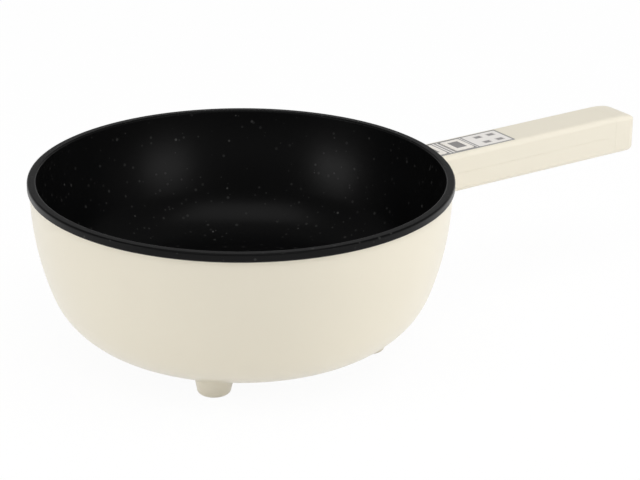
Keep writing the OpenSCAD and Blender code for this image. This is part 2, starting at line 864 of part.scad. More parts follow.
module inlet_pins() {
    color("#c8b27a") at_inlet_pins() block([pin_x, -blade_w / 2, -blade_h / 2],
                                          [handle_end - pin_recess, blade_w / 2, blade_h / 2]);
}

module inlet_leads() {
    z = handle_mid - earth_offset / 2;
    color("#8b5a3c") for (side = [-1, 1]) swept_tube(curve([
        [pin_x - lead_gap, side * inlet_pitch / 2, z], [pin_x - 4, side * inlet_pitch / 2, z],
        [rear_post_x, side * 7.5, z - 1], [pboard_x1 - 0.8, side * 6.4, pboard_top + 3],
        [pboard_x1 - 1.8, side * 6, pboard_top + lead_gap]], lead_steps), lead_d);
}

// Boards in the handle

module power_board() {
    color(board_green) difference() {
        block([pboard_x0, -pboard_w / 2, pboard_low], [pboard_x1, pboard_w / 2, pboard_top]);
        for (x = pboard_post_xs) translate([x, pboard_post_y, pboard_low - over])
            cylinder(d = small_hole_d, h = board_t + 2 * over);
    }
}

module power_board_screws() {
    color(steel) for (x = pboard_post_xs) translate([x, pboard_post_y, pboard_top])
        rotate([180, 0, 0]) screw(small_screw_d, small_hole_l, small_head_d, small_head_t);
}

module relay() {
    color("#2a5d9c") block([relay_x, -relay_w / 2, pboard_top],
                           [relay_x + relay_l, relay_w / 2, pboard_top + relay_h]);
}

module filter_capacitor() {
    color("#c9a227") block([capacitor_x, -capacitor_w / 2, pboard_top],
                           [capacitor_x + capacitor_l, capacitor_w / 2, pboard_top + capacitor_h]);
}

module terminal_block() {
    color("#2d7d46") block([block_x, block_y0, pboard_top],
                           [block_x + block_l, block_y1, pboard_top + block_h]);
}

module board_ribbon() {
    top = board_top - board_t;
    y0 = -pboard_w / 2;
    color("#9aa0a6") union() {
        block([ribbon_x0, y0, top - ribbon_t], [ribbon_x1 + ribbon_t, y0 + ribbon_w, top]);
        block([ribbon_x1, y0, pboard_top], [ribbon_x1 + ribbon_t, y0 + ribbon_w, top]);
    }
}

module control_board() {
    color(board_green) difference() {
        block([board_x0, -board_w / 2, board_top - board_t], [board_x1, board_w / 2, board_top]);
        for (p = board_posts) translate([p[0], p[1], board_top - board_t - over])
            cylinder(d = small_hole_d, h = board_t + 2 * over);
    }
}

module control_board_screws() {
    color(steel) for (p = board_posts) translate([p[0], p[1], board_top - board_t])
        screw(small_screw_d, small_hole_l, small_head_d, small_head_t);
}

module tact_switches() {
    color("#26282b") for (x = key_xs) translate([x, 0, board_top]) difference() {
        block([-switch_w / 2, -switch_w / 2, 0], [switch_w / 2, switch_w / 2, switch_h]);
        translate([0, 0, switch_h - plunger_in - key_travel - plunger_play])
            cylinder(d = plunger_d + 2 * plunger_play, h = switch_h);
    }
}

module at_windows() {
    for (i = [-1, 1]) for (j = [-1, 1])
        translate([window_x + i * window_pitch_l / 2, j * window_pitch_w / 2, 0]) children();
}

module indicator_leds() {
    color("#f6f3e6") at_windows()
        block([-led_l / 2, -led_w / 2, board_top], [led_l / 2, led_w / 2, board_top + led_h]);
}

module light_guide() {
    l = window_pitch_l + window_l + 2 * guide_edge;
    w = window_pitch_w + window_w + 2 * guide_edge;
    color("#dfe6ea") {
        block([window_x - l / 2, -w / 2, inner_top - guide_t], [window_x + l / 2, w / 2, inner_top]);
        at_windows() block([-window_l / 2, -window_w / 2, inner_top - touch_gap],
                           [window_l / 2, window_w / 2, handle_top]);
    }
}

// Control panel and keys

module control_panel() {
    color(panel_white) translate([0, 0, panel_low]) difference() {
        translate([panel_x + panel_l / 2, 0, 0]) linear_extrude(panel_t)
            square([panel_l, panel_w], center = true);
        for (x = key_xs) translate([x, 0, -over]) linear_extrude(panel_t + 2 * over)
            square([key_l + 2 * fit_gap, key_w + 2 * fit_gap], center = true);
        at_windows() translate([0, 0, -over]) linear_extrude(panel_t + 2 * over)
            square([window_l + 2 * fit_gap, window_w + 2 * fit_gap], center = true);
    }
}

// One key: cap, retaining lip under the panel, and stem down to its switch
module key(x) {
    lip_top = panel_low - touch_gap;
    color(panel_white) translate([x, 0, 0]) difference() {
        union() {
            translate([0, 0, lip_top - key_lip_t]) linear_extrude(key_lip_t)
                square([key_l + 2 * lip, key_w + 2 * lip], center = true);
            translate([0, 0, lip_top - key_lip_t]) linear_extrude(key_top - lip_top + key_lip_t)
                polygon(round_rect(key_l, key_w, key_corner_r));
            translate([0, 0, plunger_top])
                cylinder(d = stem_d, h = lip_top - key_lip_t - plunger_top + touch_gap);
        }
        translate([0, 0, key_top - inlay_t]) linear_extrude(inlay_t + over)
            square([inlay_l, inlay_w], center = true);
    }
}

module key_inlay(x) {
    color(mark_grey) translate([x, 0, key_top - inlay_t]) linear_extrude(inlay_t)
        square([inlay_l, inlay_w], center = true);
}

module key_plunger(x) {
    color("#d9d9d9") translate([x, 0, board_top + switch_h - plunger_in])
        cylinder(d = plunger_d, h = plunger_top - board_top - switch_h + plunger_in);
}

module power_key() { key(key_xs[0]); }
module power_key_inlay() { key_inlay(key_xs[0]); }
module power_key_plunger() { key_plunger(key_xs[0]); }
module mode_key() { key(key_xs[1]); }
module mode_key_inlay() { key_inlay(key_xs[1]); }
module mode_key_plunger() { key_plunger(key_xs[1]); }

// Leads from the handle to the heater

// The way from the handle down between pan and shell, at one distance to the side
function way_down(y) = [
    [tongue_posts[0], y, lead_run_z],
    [rim_r + 8, y, lead_run_z - 1],
    [shell_r + 3, y, lead_run_z - 2],
    [shell_r - 5.5, y, lead_door_z],
    [mid_r(handle_low - 4), y, handle_low - 4],
    [mid_r(handle_low - 24), y, handle_low - 24],
    [bowl_r(shell_bowl, lead_low_z + 16, -shell_wall) - 4, y, lead_low_z + 16],
    [bowl_r(shell_bowl, lead_low_z + 5, -shell_wall) - 6, y, lead_low_z + 5],
    [clamp_r + 16, y, lead_low_z]];

// From the terminal block to the tongue
function from_block(y, aside) = [
    [block_x - lead_gap, y + aside, lead_block_z],
    [lead_bend_x, y, lead_run_z]];

// From the bottom of the shell to one of the coil's terminals
function to_terminal(side) = [
    [terminal_x + 8, side * (terminal_y - 3), lead_low_z - 0.4],
    [terminal_x + 0.6, side * terminal_y, lead_low_z + 0.4],
    [terminal_x, side * terminal_y, terminal_low - lead_gap]];

module live_lead() {
    color("#7a4a2b") swept_tube(curve(concat(
        from_block(live_y, 0.6), way_down(live_y), to_terminal(-1)), lead_steps), lead_d);
}

module neutral_lead() {
    color("#3a6ea5") swept_tube(curve(concat(
        from_block(neutral_y, -1), way_down(neutral_y), to_terminal(1)), lead_steps), lead_d);
}

module earth_lead() {
    y = earth_lead_y;
    color("#6f9b3a") swept_tube(curve(concat(
        [[pin_x - lead_gap, 0, handle_mid + earth_offset / 2], [pin_x - 4, 1, handle_mid + earth_offset / 2],
         [rear_post_x, 7.5, handle_mid + 6], [pboard_x1 - 10, y, handle_mid + 5],
         [pboard_x0 + 20, y + 0.4, handle_mid + 3], [pboard_x0, y + 0.4, lead_run_z + 2],
         [lead_bend_x, y, lead_run_z]],
        way_down(y),
        [[earth_x + 34, earth_y + 6, lead_low_z], [earth_x + 12, earth_y + 1, lead_low_z + 1.6],
         [earth_x + earth_plate / 2 + 0.4, earth_y, clamp_low - earth_t - lead_d / 2 - touch_gap]]),
        lead_steps), lead_d);
}

module sensor_lead() {
    color("#c8c8c8") swept_tube(curve(concat(
        from_block(sensor_y, 0.6), way_down(sensor_y),
        [sensor_bend, sensor_turn, [12, -holder_w / 2 - lead_d, lead_low_z + 1],
         [3, -holder_w / 2 - lead_d / 2 - touch_gap, holder_top - holder_t / 2]]), lead_steps), lead_d);
}

inner_pan();
rim_seal();
outer_shell();
foot_pads();
base_cover();
base_screws();
heat_shield();
heating_element();
terminal_pins();
terminal_bushes();
heater_clamp();
clamp_studs();
clamp_nuts();
sensor_probe();
sensor_spring();
sensor_holder();
thermostat();
thermal_fuse();
fuse_clip();
earth_tab();
earth_screw();
handle_lower();
handle_upper();
handle_gasket();
handle_screws();
handle_bracket();
bracket_screws();
tongue_screws();
inlet_cap();
inlet_pins();
inlet_leads();
power_board();
power_board_screws();
relay();
filter_capacitor();
terminal_block();
board_ribbon();
control_board();
control_board_screws();
tact_switches();
indicator_leds();
light_guide();
control_panel();
power_key();
power_key_inlay();
power_key_plunger();
mode_key();
mode_key_inlay();
mode_key_plunger();
live_lead();
neutral_lead();
earth_lead();
sensor_lead();
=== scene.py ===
import json
import math

import bmesh
import bpy
from mathutils import Matrix, Vector


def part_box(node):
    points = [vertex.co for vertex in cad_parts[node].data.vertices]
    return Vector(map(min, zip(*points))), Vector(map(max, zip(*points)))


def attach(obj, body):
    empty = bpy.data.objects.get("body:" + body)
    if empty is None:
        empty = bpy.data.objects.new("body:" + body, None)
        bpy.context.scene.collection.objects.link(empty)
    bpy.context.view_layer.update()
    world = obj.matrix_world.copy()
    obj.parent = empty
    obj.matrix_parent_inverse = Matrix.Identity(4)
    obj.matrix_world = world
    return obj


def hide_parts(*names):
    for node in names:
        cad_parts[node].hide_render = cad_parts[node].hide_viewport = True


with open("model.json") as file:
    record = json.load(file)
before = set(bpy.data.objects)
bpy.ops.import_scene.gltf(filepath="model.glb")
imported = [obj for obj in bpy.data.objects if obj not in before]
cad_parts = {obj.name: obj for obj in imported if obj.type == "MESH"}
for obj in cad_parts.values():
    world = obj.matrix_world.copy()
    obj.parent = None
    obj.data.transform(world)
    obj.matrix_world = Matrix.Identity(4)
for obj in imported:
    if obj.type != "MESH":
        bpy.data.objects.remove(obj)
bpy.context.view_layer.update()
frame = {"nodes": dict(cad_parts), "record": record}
scene = bpy.context.scene
scene.view_settings.view_transform = "Standard"
mm = 0.001
over = 1.0  # how far a cut or a joined form runs past a surface, in mm
mergeWithin = 1e-6  # metres
fullTurn = 192  # faces round each of the pot's turned pieces
spokes = (45, 135, 225, 315)  # where the pan's posts and the feet stand, in degrees
slots = {part["node"]: part["material_slot"] for part in frame["record"]["subparts"]}
bodies = {node: body for body, nodes in frame["record"]["behaviour"]["bodies"].items() for node in nodes}


def lowOf(node, axis):  # a part's lowest place along x, y or z, in mm
    return round(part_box(node)[0]["xyz".index(axis)] / mm, 3)


def highOf(node, axis):
    return round(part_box(node)[1]["xyz".index(axis)] / mm, 3)


def middleOf(node, axis):
    return (lowOf(node, axis) + highOf(node, axis)) / 2


photoView = {
    "place": (-0.748, -1.152, 0.609),
    "ahead": (0.5336, 0.7620, -0.3669),
    "right": (0.8214, -0.5703, 0.0100),
    "lens": 135.0,
    "sensor": 36.0,
}


def placeCamera(view):
    ahead = Vector(view["ahead"]).normalized()
    right = Vector(view["right"])
    right = (right - ahead * right.dot(ahead)).normalized()
    turn = Matrix((right, right.cross(ahead), -ahead)).transposed().to_4x4()
    data = bpy.data.cameras.new("photoCamera")
    data.lens = view["lens"]
    data.sensor_width = view["sensor"]
    data.sensor_fit = "HORIZONTAL"
    camera = bpy.data.objects.new("photoCamera", data)
    camera.matrix_world = Matrix.Translation(view["place"]) @ turn
    scene.collection.objects.link(camera)
    scene.camera = camera


placeCamera(photoView)
print("camera placed")


class Wire:  # a node socket that can be used in sums
    def __init__(self, nodes, socket):
        self.nodes = nodes
        self.socket = socket

    def math(self, operation, first, second=0.0, clamp=False):
        settings = {"operation": operation, "use_clamp": clamp}
        return self.nodes.add("ShaderNodeMath", settings, {0: first, 1: second})

    def __add__(self, other):
        return self.math("ADD", self, other)

    def __radd__(self, other):
        return self.math("ADD", other, self)

    def __sub__(self, other):
        return self.math("SUBTRACT", self, other)

    def __rsub__(self, other):
        return self.math("SUBTRACT", other, self)

    def __mul__(self, other):
        return self.math("MULTIPLY", self, other)

    def __rmul__(self, other):
        return self.math("MULTIPLY", other, self)

    def __lt__(self, other):
        return self.math("LESS_THAN", self, other)

    def __gt__(self, other):
        return self.math("GREATER_THAN", self, other)

    def __abs__(self):
        return self.math("ABSOLUTE", self)

    def __or__(self, other):  # the larger of two
        return self.math("MAXIMUM", self, other)

    def held(self):  # kept between 0 and 1
        return self.math("ADD", self, 0.0, True)


def rgba(colour, level=1.0):
    return (colour[0] * level, colour[1] * level, colour[2] * level, 1.0)


class Nodes:
    def __init__(self, tree):
        self.tree = tree
        tree.nodes.clear()

    def add(self, kind, settings=None, sockets=None, out=0):
        node = self.tree.nodes.new(kind)
        for name, value in (settings or {}).items():
            setattr(node, name, value)
        for name, value in (sockets or {}).items():
            if isinstance(value, Wire):
                self.tree.links.new(value.socket, node.inputs[name])
            else:
                node.inputs[name].default_value = value
        return Wire(self, node.outputs[out])

    def place(self):
        return self.add("ShaderNodeTexCoord", out="Object")

    def parts(self, vector):
        node = self.add("ShaderNodeSeparateXYZ", sockets={"Vector": vector}).socket.node
        return [Wire(self, socket) for socket in node.outputs]

    def noise(self, vector, scale, detail=2):
        return self.add("ShaderNodeTexNoise", {}, {"Vector": vector, "Scale": scale, "Detail": detail})

    def blend(self, factor, first, second):
        return self.add("ShaderNodeMix", {"data_type": "RGBA"}, {0: factor, 6: first, 7: second}, 2)

    def shade(self, factor, colour, dark, pale):  # one colour between two of its levels
        return self.blend(factor, rgba(colour, dark), rgba(colour, pale))

    def sway(self, factor, middle, swing):  # a value that wanders round its middle
        return middle + swing * (factor - 0.5)

    def stretch(self, vector, scale):
        return self.add("ShaderNodeMapping", {}, {"Vector": vector, "Scale": scale})

    def bump(self, height, depth, strength):  # depth in mm
        sockets = {"Height": height, "Distance": depth * mm, "Strength": strength}
        return self.add("ShaderNodeBump", {}, sockets, "Normal")

    def surface(self, sockets):
        self.output(self.add("ShaderNodeBsdfPrincipled", {}, sockets))

    def output(self, shader, kind="ShaderNodeOutputMaterial"):
        node = self.tree.nodes.new(kind)
        self.tree.links.new(shader.socket, node.inputs["Surface"])


def newFinish(name):
    material = bpy.data.materials.new(name)
    material.use_nodes = True
    return material, Nodes(material.node_tree)


plastic = {"roughSwing": 0.08, "bump": 0.6, "coat": 0.0, "coatRough": 0.12}


def mouldedPlastic(name, look):
    look = {**plastic, **look}
    material, n = newFinish(name)
    place = n.place()
    cloud = n.noise(place, look["cloud"], detail=3)
    grain = n.noise(place, look["grain"])
    n.surface({
        "Base Color": n.shade(cloud, look["colour"], 1 - look["shift"], 1 + look["shift"]),
        "Roughness": n.sway(cloud, look["rough"], look["roughSwing"]),
        "Normal": n.bump(grain, look["depth"], look["bump"]),
        "Coat Weight": look["coat"],
        "Coat Roughness": look["coatRough"],
    })
    return material


def nonStick(name, look):
    material, n = newFinish(name)
    place = n.place()

    def flecks(scale, size, spare, strength):
        cells = n.add("ShaderNodeTexVoronoi", {}, {"Vector": place, "Scale": scale}).socket.node
        away = Wire(n, cells.outputs["Distance"])
        chance = n.parts(Wire(n, cells.outputs["Color"]))
        spot = ((chance[0] * size - away) * look["fleckEdge"]).held() * (chance[1] > spare)
        return spot * (look["faintest"] + (1 - look["faintest"]) * chance[2]) * strength

    cloud = n.noise(place, look["cloud"], detail=3)
    grain = n.noise(place, look["grain"], detail=3)
    coat = n.shade(cloud, look["colour"], look["dark"], look["pale"])
    stone = 0.0
    for layer in look["flecks"]:
        stone = flecks(*layer) | stone
    n.surface({
        "Base Color": n.blend(stone, coat, rgba(look["fleckColour"])),
        "Roughness": n.sway(cloud, look["rough"], look["roughSwing"]),
        "Normal": n.bump(grain, look["depth"], look["bump"]),
        "Specular IOR Level": look["shine"],
    })
    return material


rubber = {
    "cloud": 60, "shift": 0.1, "dust": 2400, "roughSwing": 0.1, "depth": 0.04, "bump": 0.5, "shine": 0.3,
}


def softRubber(name, look):
    look = {**rubber, **look}
    material, n = newFinish(name)
    place = n.place()
    cloud = n.noise(place, look["cloud"], detail=3)
    dust = n.noise(place, look["dust"])
    n.surface({
        "Base Color": n.shade(cloud, look["colour"], 1 - look["shift"], 1 + look["shift"]),
        "Roughness": n.sway(dust, look["rough"], look["roughSwing"]),
        "Normal": n.bump(dust, look["depth"], look["bump"]),
        "Specular IOR Level": look["shine"],
    })
    return material


metal = {
    "lines": 900, "cloud": 40, "dark": 0.88, "pale": 1.08, "roughSwing": 0.2, "depth": 0.01, "bump": 0.4,
}


def workedMetal(name, look):
    look = {**metal, **look}
    material, n = newFinish(name)
    place = n.place()
    lines = n.noise(n.stretch(place, look["draw"]), look["lines"], detail=3)
    cloud = n.noise(place, look["cloud"])
    n.surface({
        "Base Color": n.shade(cloud, look["colour"], look["dark"], look["pale"]),
        "Metallic": 1.0,
        "Roughness": n.sway(lines, look["rough"], look["roughSwing"]),
        "Normal": n.bump(lines, look["depth"], look["bump"]),
    })
    return material


def circuitBoard(name, look):
    material, n = newFinish(name)
    place = n.place()
    line = 0.0
    for scale, offset in look["tracks"]:
        line = n.add("ShaderNodeTexBrick", {"offset": offset}, {
            "Vector": place, "Scale": scale, "Mortar Size": look["lineWidth"], "Mortar Smooth": 0.0,
            "Brick Width": look["runLength"], "Row Height": look["runPitch"]}, "Fac") | line
    weave = n.noise(n.stretch(place, look["weaveDraw"]), look["weave"], detail=1)
    n.surface({
        "Base Color": n.blend(line, rgba(look["colour"]), rgba(look["track"])),
        "Roughness": n.sway(weave, look["rough"], look["roughSwing"]),
        "Normal": n.bump(line, look["depth"], look["bump"]),
    })
    return material


panel = {
    "from": lowOf("control_panel", "x"), "to": highOf("control_panel", "x"),
    "halfWidth": highOf("control_panel", "y"),
    "low": lowOf("control_panel", "z"), "high": highOf("control_panel", "z"),
    "gap": 0.15, "corner": 0.8, "edge": 0.12,
    "keys": (middleOf("power_key", "x"), middleOf("mode_key", "x")), "keyLength": 15.0, "keyWidth": 18.0,
    "keyTop": highOf("power_key", "z"), "keyRound": 1.2, "keyEdge": 0.3,
    "lip": 1.0, "lipGap": 0.1, "lipRoom": 0.5, "stem": 4.2, "stemLow": lowOf("power_key", "z"),
    "inlayInset": 3.5, "inlayDepth": 0.6, "inlayEdge": 0.15,
    "window": middleOf("light_guide", "x"), "windowAlong": 10.5, "windowAcross": 10.0,
    "windowLength": 4.4, "windowWidth": 3.0,
}
panelInk = {
    "colour": (0.83, 0.8, 0.765), "ink": (0.29, 0.283, 0.28), "patch": (0.56, 0.53, 0.51), "printDepth": 0.4,
    "border": 1.4, "line": 1.3, "dividers": (155.2, 176.6), "patchHalfLength": 3.2, "patchHalfWidth": 2.2,
    "cloud": 90, "shift": 0.02, "grain": 1800, "rough": 0.3, "roughSwing": 0.08, "depth": 0.006, "bump": 0.5,
}


def printedPanel(name, look, p):
    material, n = newFinish(name)
    place = n.place()
    x, y, z = n.parts(place)
    along = x * (1 / mm)
    across = abs(y * (1 / mm))
    face = (z * (1 / mm)) > (p["high"] - look["printDepth"])

    def outside(middle, halfLength, halfWidth):  # how far a point lies outside a rectangle
        return (abs(along - middle) - halfLength) | (across - halfWidth)

    ink = outside((p["from"] + p["to"]) / 2, (p["to"] - p["from"]) / 2, p["halfWidth"]) > -look["border"]
    for mark in look["dividers"]:
        ink = ink | (abs(along - mark) < look["line"] / 2)
    for middle in p["keys"]:
        out = outside(middle, p["keyLength"] / 2 + p["gap"], p["keyWidth"] / 2 + p["gap"])
        ink = ink | (out > 0) * (out < look["line"])
    patch = abs(abs(along - p["window"]) - p["windowAlong"] / 2) < look["patchHalfLength"]
    patch = patch * (abs(across - p["windowAcross"] / 2) < look["patchHalfWidth"])
    cloud = n.noise(place, look["cloud"])
    grain = n.noise(place, look["grain"])
    tint = n.shade(cloud, look["colour"], 1 - look["shift"], 1 + look["shift"])
    tint = n.blend(patch * face, tint, rgba(look["patch"]))
    n.surface({
        "Base Color": n.blend(ink * face, tint, rgba(look["ink"])),
        "Roughness": n.sway(cloud, look["rough"], look["roughSwing"]),
        "Normal": n.bump(grain, look["depth"], look["bump"]),
    })
    return material


finishes = {
    "pan_coating": nonStick("panCoating", {
        "colour": (0.0022, 0.0022, 0.0023), "dark": 0.8, "pale": 1.25, "cloud": 22, "rough": 0.31,
        "roughSwing": 0.1, "shine": 0.14, "grain": 700, "depth": 0.03, "bump": 0.5,
        "fleckColour": (0.17, 0.17, 0.165), "fleckEdge": 18, "faintest": 0.35,
        "flecks": ((150, 0.16, 0.5, 0.38), (310, 0.34, 0.6, 0.14))}),  # scale, size, spare, strength
    "black_silicone": softRubber("sealSilicone", {"colour": (0.015, 0.015, 0.015), "rough": 0.6}),
    "shell_plastic": mouldedPlastic("shellCream", {
        "colour": (0.775, 0.722, 0.596), "shift": 0.012, "cloud": 14, "grain": 1400, "depth": 0.006,
        "rough": 0.34, "coat": 0.15}),
    "pale_silicone": softRubber("padSilicone", {"colour": (0.62, 0.57, 0.47), "rough": 0.62}),
    "base_plastic": mouldedPlastic("baseCream", {
        "colour": (0.79, 0.725, 0.6), "shift": 0.02, "cloud": 25, "grain": 2600, "depth": 0.05,
        "rough": 0.55}),
    "screw_steel": workedMetal("screwSteel", {
        "colour": (0.56, 0.57, 0.58), "draw": (1, 1, 0.1), "rough": 0.32}),
    "shield_aluminium": workedMetal("shieldAluminium", {
        "colour": (0.7, 0.71, 0.73), "draw": (0.1, 1, 1), "rough": 0.36}),
    "element_steel": workedMetal("elementSteel", {
        "colour": (0.3, 0.28, 0.26), "draw": (1, 1, 1), "rough": 0.5}),
    "bush_ceramic": mouldedPlastic("bushCeramic", {
        "colour": (0.84, 0.81, 0.75), "shift": 0.02, "cloud": 80, "grain": 2000, "depth": 0.02,
        "rough": 0.6}),
    "bracket_steel": workedMetal("bracketSteel", {
        "colour": (0.6, 0.61, 0.62), "draw": (0.1, 1, 1), "rough": 0.34}),
    "black_plastic": mouldedPlastic("blackPlastic", {
        "colour": (0.03, 0.03, 0.032), "shift": 0.08, "cloud": 60, "grain": 1800, "depth": 0.03,
        "rough": 0.45}),
    "handle_plastic": mouldedPlastic("handleCream", {
        "colour": (0.785, 0.735, 0.617), "shift": 0.012, "cloud": 18, "grain": 1700, "depth": 0.01,
        "rough": 0.4}),
    "pin_brass": workedMetal("pinBrass", {
        "colour": (0.72, 0.58, 0.32), "draw": (0.1, 1, 1), "rough": 0.28}),
    "lead_brown": softRubber("leadBrown", {"colour": (0.2, 0.08, 0.03), "rough": 0.4}),
    "lead_blue": softRubber("leadBlue", {"colour": (0.05, 0.16, 0.4), "rough": 0.4}),
    "lead_green": softRubber("leadGreen", {"colour": (0.18, 0.36, 0.05), "rough": 0.4}),
    "lead_grey": softRubber("leadGrey", {"colour": (0.45, 0.45, 0.46), "rough": 0.4}),
    "circuit_board": circuitBoard("boardGreen", {
        "colour": (0.02, 0.13, 0.06), "track": (0.05, 0.24, 0.11),
        "tracks": ((45, 0.37), (83, 0.61)),  # scale, offset
        "lineWidth": 0.018, "runLength": 0.9, "runPitch": 0.2, "weave": 3000, "weaveDraw": (1, 0.1, 1),
        "rough": 0.42, "roughSwing": 0.12, "depth": 0.03, "bump": 0.6}),
    "relay_plastic": mouldedPlastic("relayBlue", {
        "colour": (0.03, 0.11, 0.32), "shift": 0.05, "cloud": 70, "grain": 1500, "depth": 0.02,
        "rough": 0.35}),
    "capacitor_plastic": mouldedPlastic("capacitorAmber", {
        "colour": (0.6, 0.36, 0.03), "shift": 0.05, "cloud": 70, "grain": 1500, "depth": 0.02,
        "rough": 0.4}),
    "terminal_plastic": mouldedPlastic("terminalGreen", {
        "colour": (0.04, 0.22, 0.08), "shift": 0.05, "cloud": 70, "grain": 1500, "depth": 0.02,
        "rough": 0.4}),
    "led_plastic": mouldedPlastic("lampWhite", {
        "colour": (0.85, 0.84, 0.78), "shift": 0.02, "cloud": 70, "grain": 1500, "depth": 0.01,
        "rough": 0.25}),
    "window_plastic": mouldedPlastic("windowGrey", {
        "colour": (0.33, 0.32, 0.312), "shift": 0.06, "cloud": 120, "grain": 1500, "depth": 0.005,
        "rough": 0.2}),
    "panel_plastic": printedPanel("panelPrint", panelInk, panel),
    "key_plastic": mouldedPlastic("keyWhite", {
        "colour": (0.87, 0.83, 0.77), "shift": 0.012, "cloud": 60, "grain": 1800, "depth": 0.006,
        "rough": 0.32}),
    "inlay_plastic": mouldedPlastic("inlayGrey", {
        "colour": (0.255, 0.245, 0.24), "shift": 0.06, "cloud": 120, "grain": 2200, "depth": 0.01,
        "rough": 0.4}),
}
for node, slot in slots.items():
    for place in frame["nodes"][node].material_slots:
        place.material = finishes[slot]
print("finishes made:", len(finishes))


def vertsIn(geom):
    return [g for g in geom if isinstance(g, bmesh.types.BMVert)]


def corner(bm, before, x, z):
    point = bm.verts.new((x * mm, 0, z * mm))
    if before:
        bm.edges.new((before, point))
    return point


def arcOn(bm, point, centre, degrees, steps):  # clockwise, with x to the right and z up
    made = bmesh.ops.spin(bm, geom=[point], cent=(centre[0] * mm, 0, centre[1] * mm), axis=(0, 1, 0),
                          angle=math.radians(degrees), steps=steps)
    return vertsIn(made["geom_last"])[0]


def turned(bm, steps=fullTurn):  # the section goes once round the upright axis
    bmesh.ops.spin(bm, geom=bm.verts[:] + bm.edges[:], cent=(0, 0, 0), axis=(0, 0, 1), angle=2 * math.pi,
                   steps=steps, use_merge=True)
    bmesh.ops.remove_doubles(bm, verts=bm.verts, dist=mergeWithin)
    bmesh.ops.dissolve_degenerate(bm, edges=bm.edges, dist=mergeWithin / 10)
    bmesh.ops.recalc_face_normals(bm, faces=bm.faces)
    return bm


def addBlock(bm, low, high):
    low, high = Vector(low) * mm, Vector(high) * mm
    made = bmesh.ops.create_cube(bm, size=1)["verts"]
    bmesh.ops.scale(bm, vec=high - low, verts=made)
    bmesh.ops.translate(bm, vec=(low + high) / 2, verts=made)
    return bm


def block(low, high):
    return addBlock(bmesh.new(), low, high)


def rods(middles, across, low, high, along="Z"):
    bm = bmesh.new()
    halfway = (low + high) / 2
    for one, two in middles:
        spot = Matrix.Translation(Vector((one, two, halfway) if along == "Z" else (halfway, one, two)) * mm)
        turn = Matrix.Rotation(math.radians(0 if along == "Z" else 90), 4, "Y")
        bmesh.ops.create_cone(bm, cap_ends=True, segments=32, radius1=across / 2 * mm,
                              radius2=across / 2 * mm, depth=(high - low) * mm, matrix=spot @ turn)
    return bm


def spotsRound(radius, angles):
    turns = [math.radians(angle) for angle in angles]
    return [(radius * math.cos(turn), radius * math.sin(turn)) for turn in turns]


def cutAcross(bm, x):  # new edges where an upright plane crosses the handle
    bmesh.ops.bisect_plane(bm, geom=bm.verts[:] + bm.edges[:] + bm.faces[:], plane_co=(x * mm, 0, 0),
                           plane_no=(1, 0, 0))


def near(one, two):
    return abs(one - two) < 0.01


def upright(middle, way):
    return abs(way.z) > 0.9


def lengthwise(middle, way):
    return abs(way.x) > 0.9


def roundOff(bm, radius, wanted, segments):  # wanted tells by an edge's middle and its way
    edges = []
    for edge in bm.edges:
        one, two = edge.verts[0].co / mm, edge.verts[1].co / mm
        if wanted((one + two) / 2, (two - one).normalized()):
            edges.append(edge)
    bmesh.ops.bevel(bm, geom=edges, offset=radius * mm, offset_type="OFFSET", affect="EDGES",
                    segments=segments, profile=0.5, material=-1)
    return bm


def blank(name, bm):
    mesh = bpy.data.meshes.new(name)
    bm.to_mesh(mesh)
    bm.free()
    piece = bpy.data.objects.new(name, mesh)
    scene.collection.objects.link(piece)
    return piece


def carve(piece, bm, how="DIFFERENCE"):
    tool = blank("carvingTool", bm)
    cut = piece.modifiers.new("carve", "BOOLEAN")
    cut.operation = how
    cut.solver = "EXACT"
    cut.object = tool
    bpy.context.view_layer.update()
    shaped = bpy.data.meshes.new_from_object(piece.evaluated_get(bpy.context.evaluated_depsgraph_get()))
    piece.modifiers.clear()
    rough = piece.data
    piece.data = shaped
    shaped.name = piece.name
    bpy.data.meshes.remove(rough)
    bpy.data.objects.remove(tool)


def trimmed(bm, cutter):  # what a cutter leaves of a shape
    piece = blank("trimmedShape", bm)
    carve(piece, cutter)
    left = bmesh.new()
    left.from_mesh(piece.data)
    bpy.data.objects.remove(piece)
    return left


def finishPiece(piece, node, sharp=32):
    mesh = piece.data
    mesh.materials.clear()
    mesh.materials.append(finishes[slots[node]])
    mesh.shade_smooth()
    mesh.set_sharp_from_angle(angle=math.radians(sharp))
    even = piece.modifiers.new("evenNormals", "WEIGHTED_NORMAL")
    even.keep_sharp = True
    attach(piece, bodies[node])
    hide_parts(node)


def bowlCurve(b):  # a side arc and a corner arc that meet smoothly, down to a flat floor
    lean = math.radians(b["lean"])
    side = (b["topR"] - b["sideR"] * math.cos(lean), b["topZ"] + b["sideR"] * math.sin(lean))
    apart = b["sideR"] - b["cornerR"]
    turn = math.asin((side[1] - b["floor"] - b["cornerR"]) / apart)
    centre = (side[0] + apart * math.cos(turn), b["floor"] + b["cornerR"])
    return {**b, "sideCentre": side, "sideTo": math.degrees(turn), "cornerCentre": centre}


def bowlArcs(bm, b, point, start):  # from a point on the side, start degrees below its centre
    point = arcOn(bm, point, b["sideCentre"], b["sideTo"] - start, b["sideSteps"])
    return arcOn(bm, point, b["cornerCentre"], 90 - b["sideTo"], b["cornerSteps"])


def bowlLine(bm, b, grow):
    top = corner(bm, None, b["sideCentre"][0] + b["sideR"] + grow, b["sideCentre"][1])
    return top, bowlArcs(bm, b, top, 0)


def bowlSolid(b, grow):  # the filled bowl, for cutting what butts against it
    bm = bmesh.new()
    top, point = bowlLine(bm, b, grow)
    corner(bm, point, 0, b["floor"] - grow)
    corner(bm, top, 0, b["sideCentre"][1])
    return turned(bm)


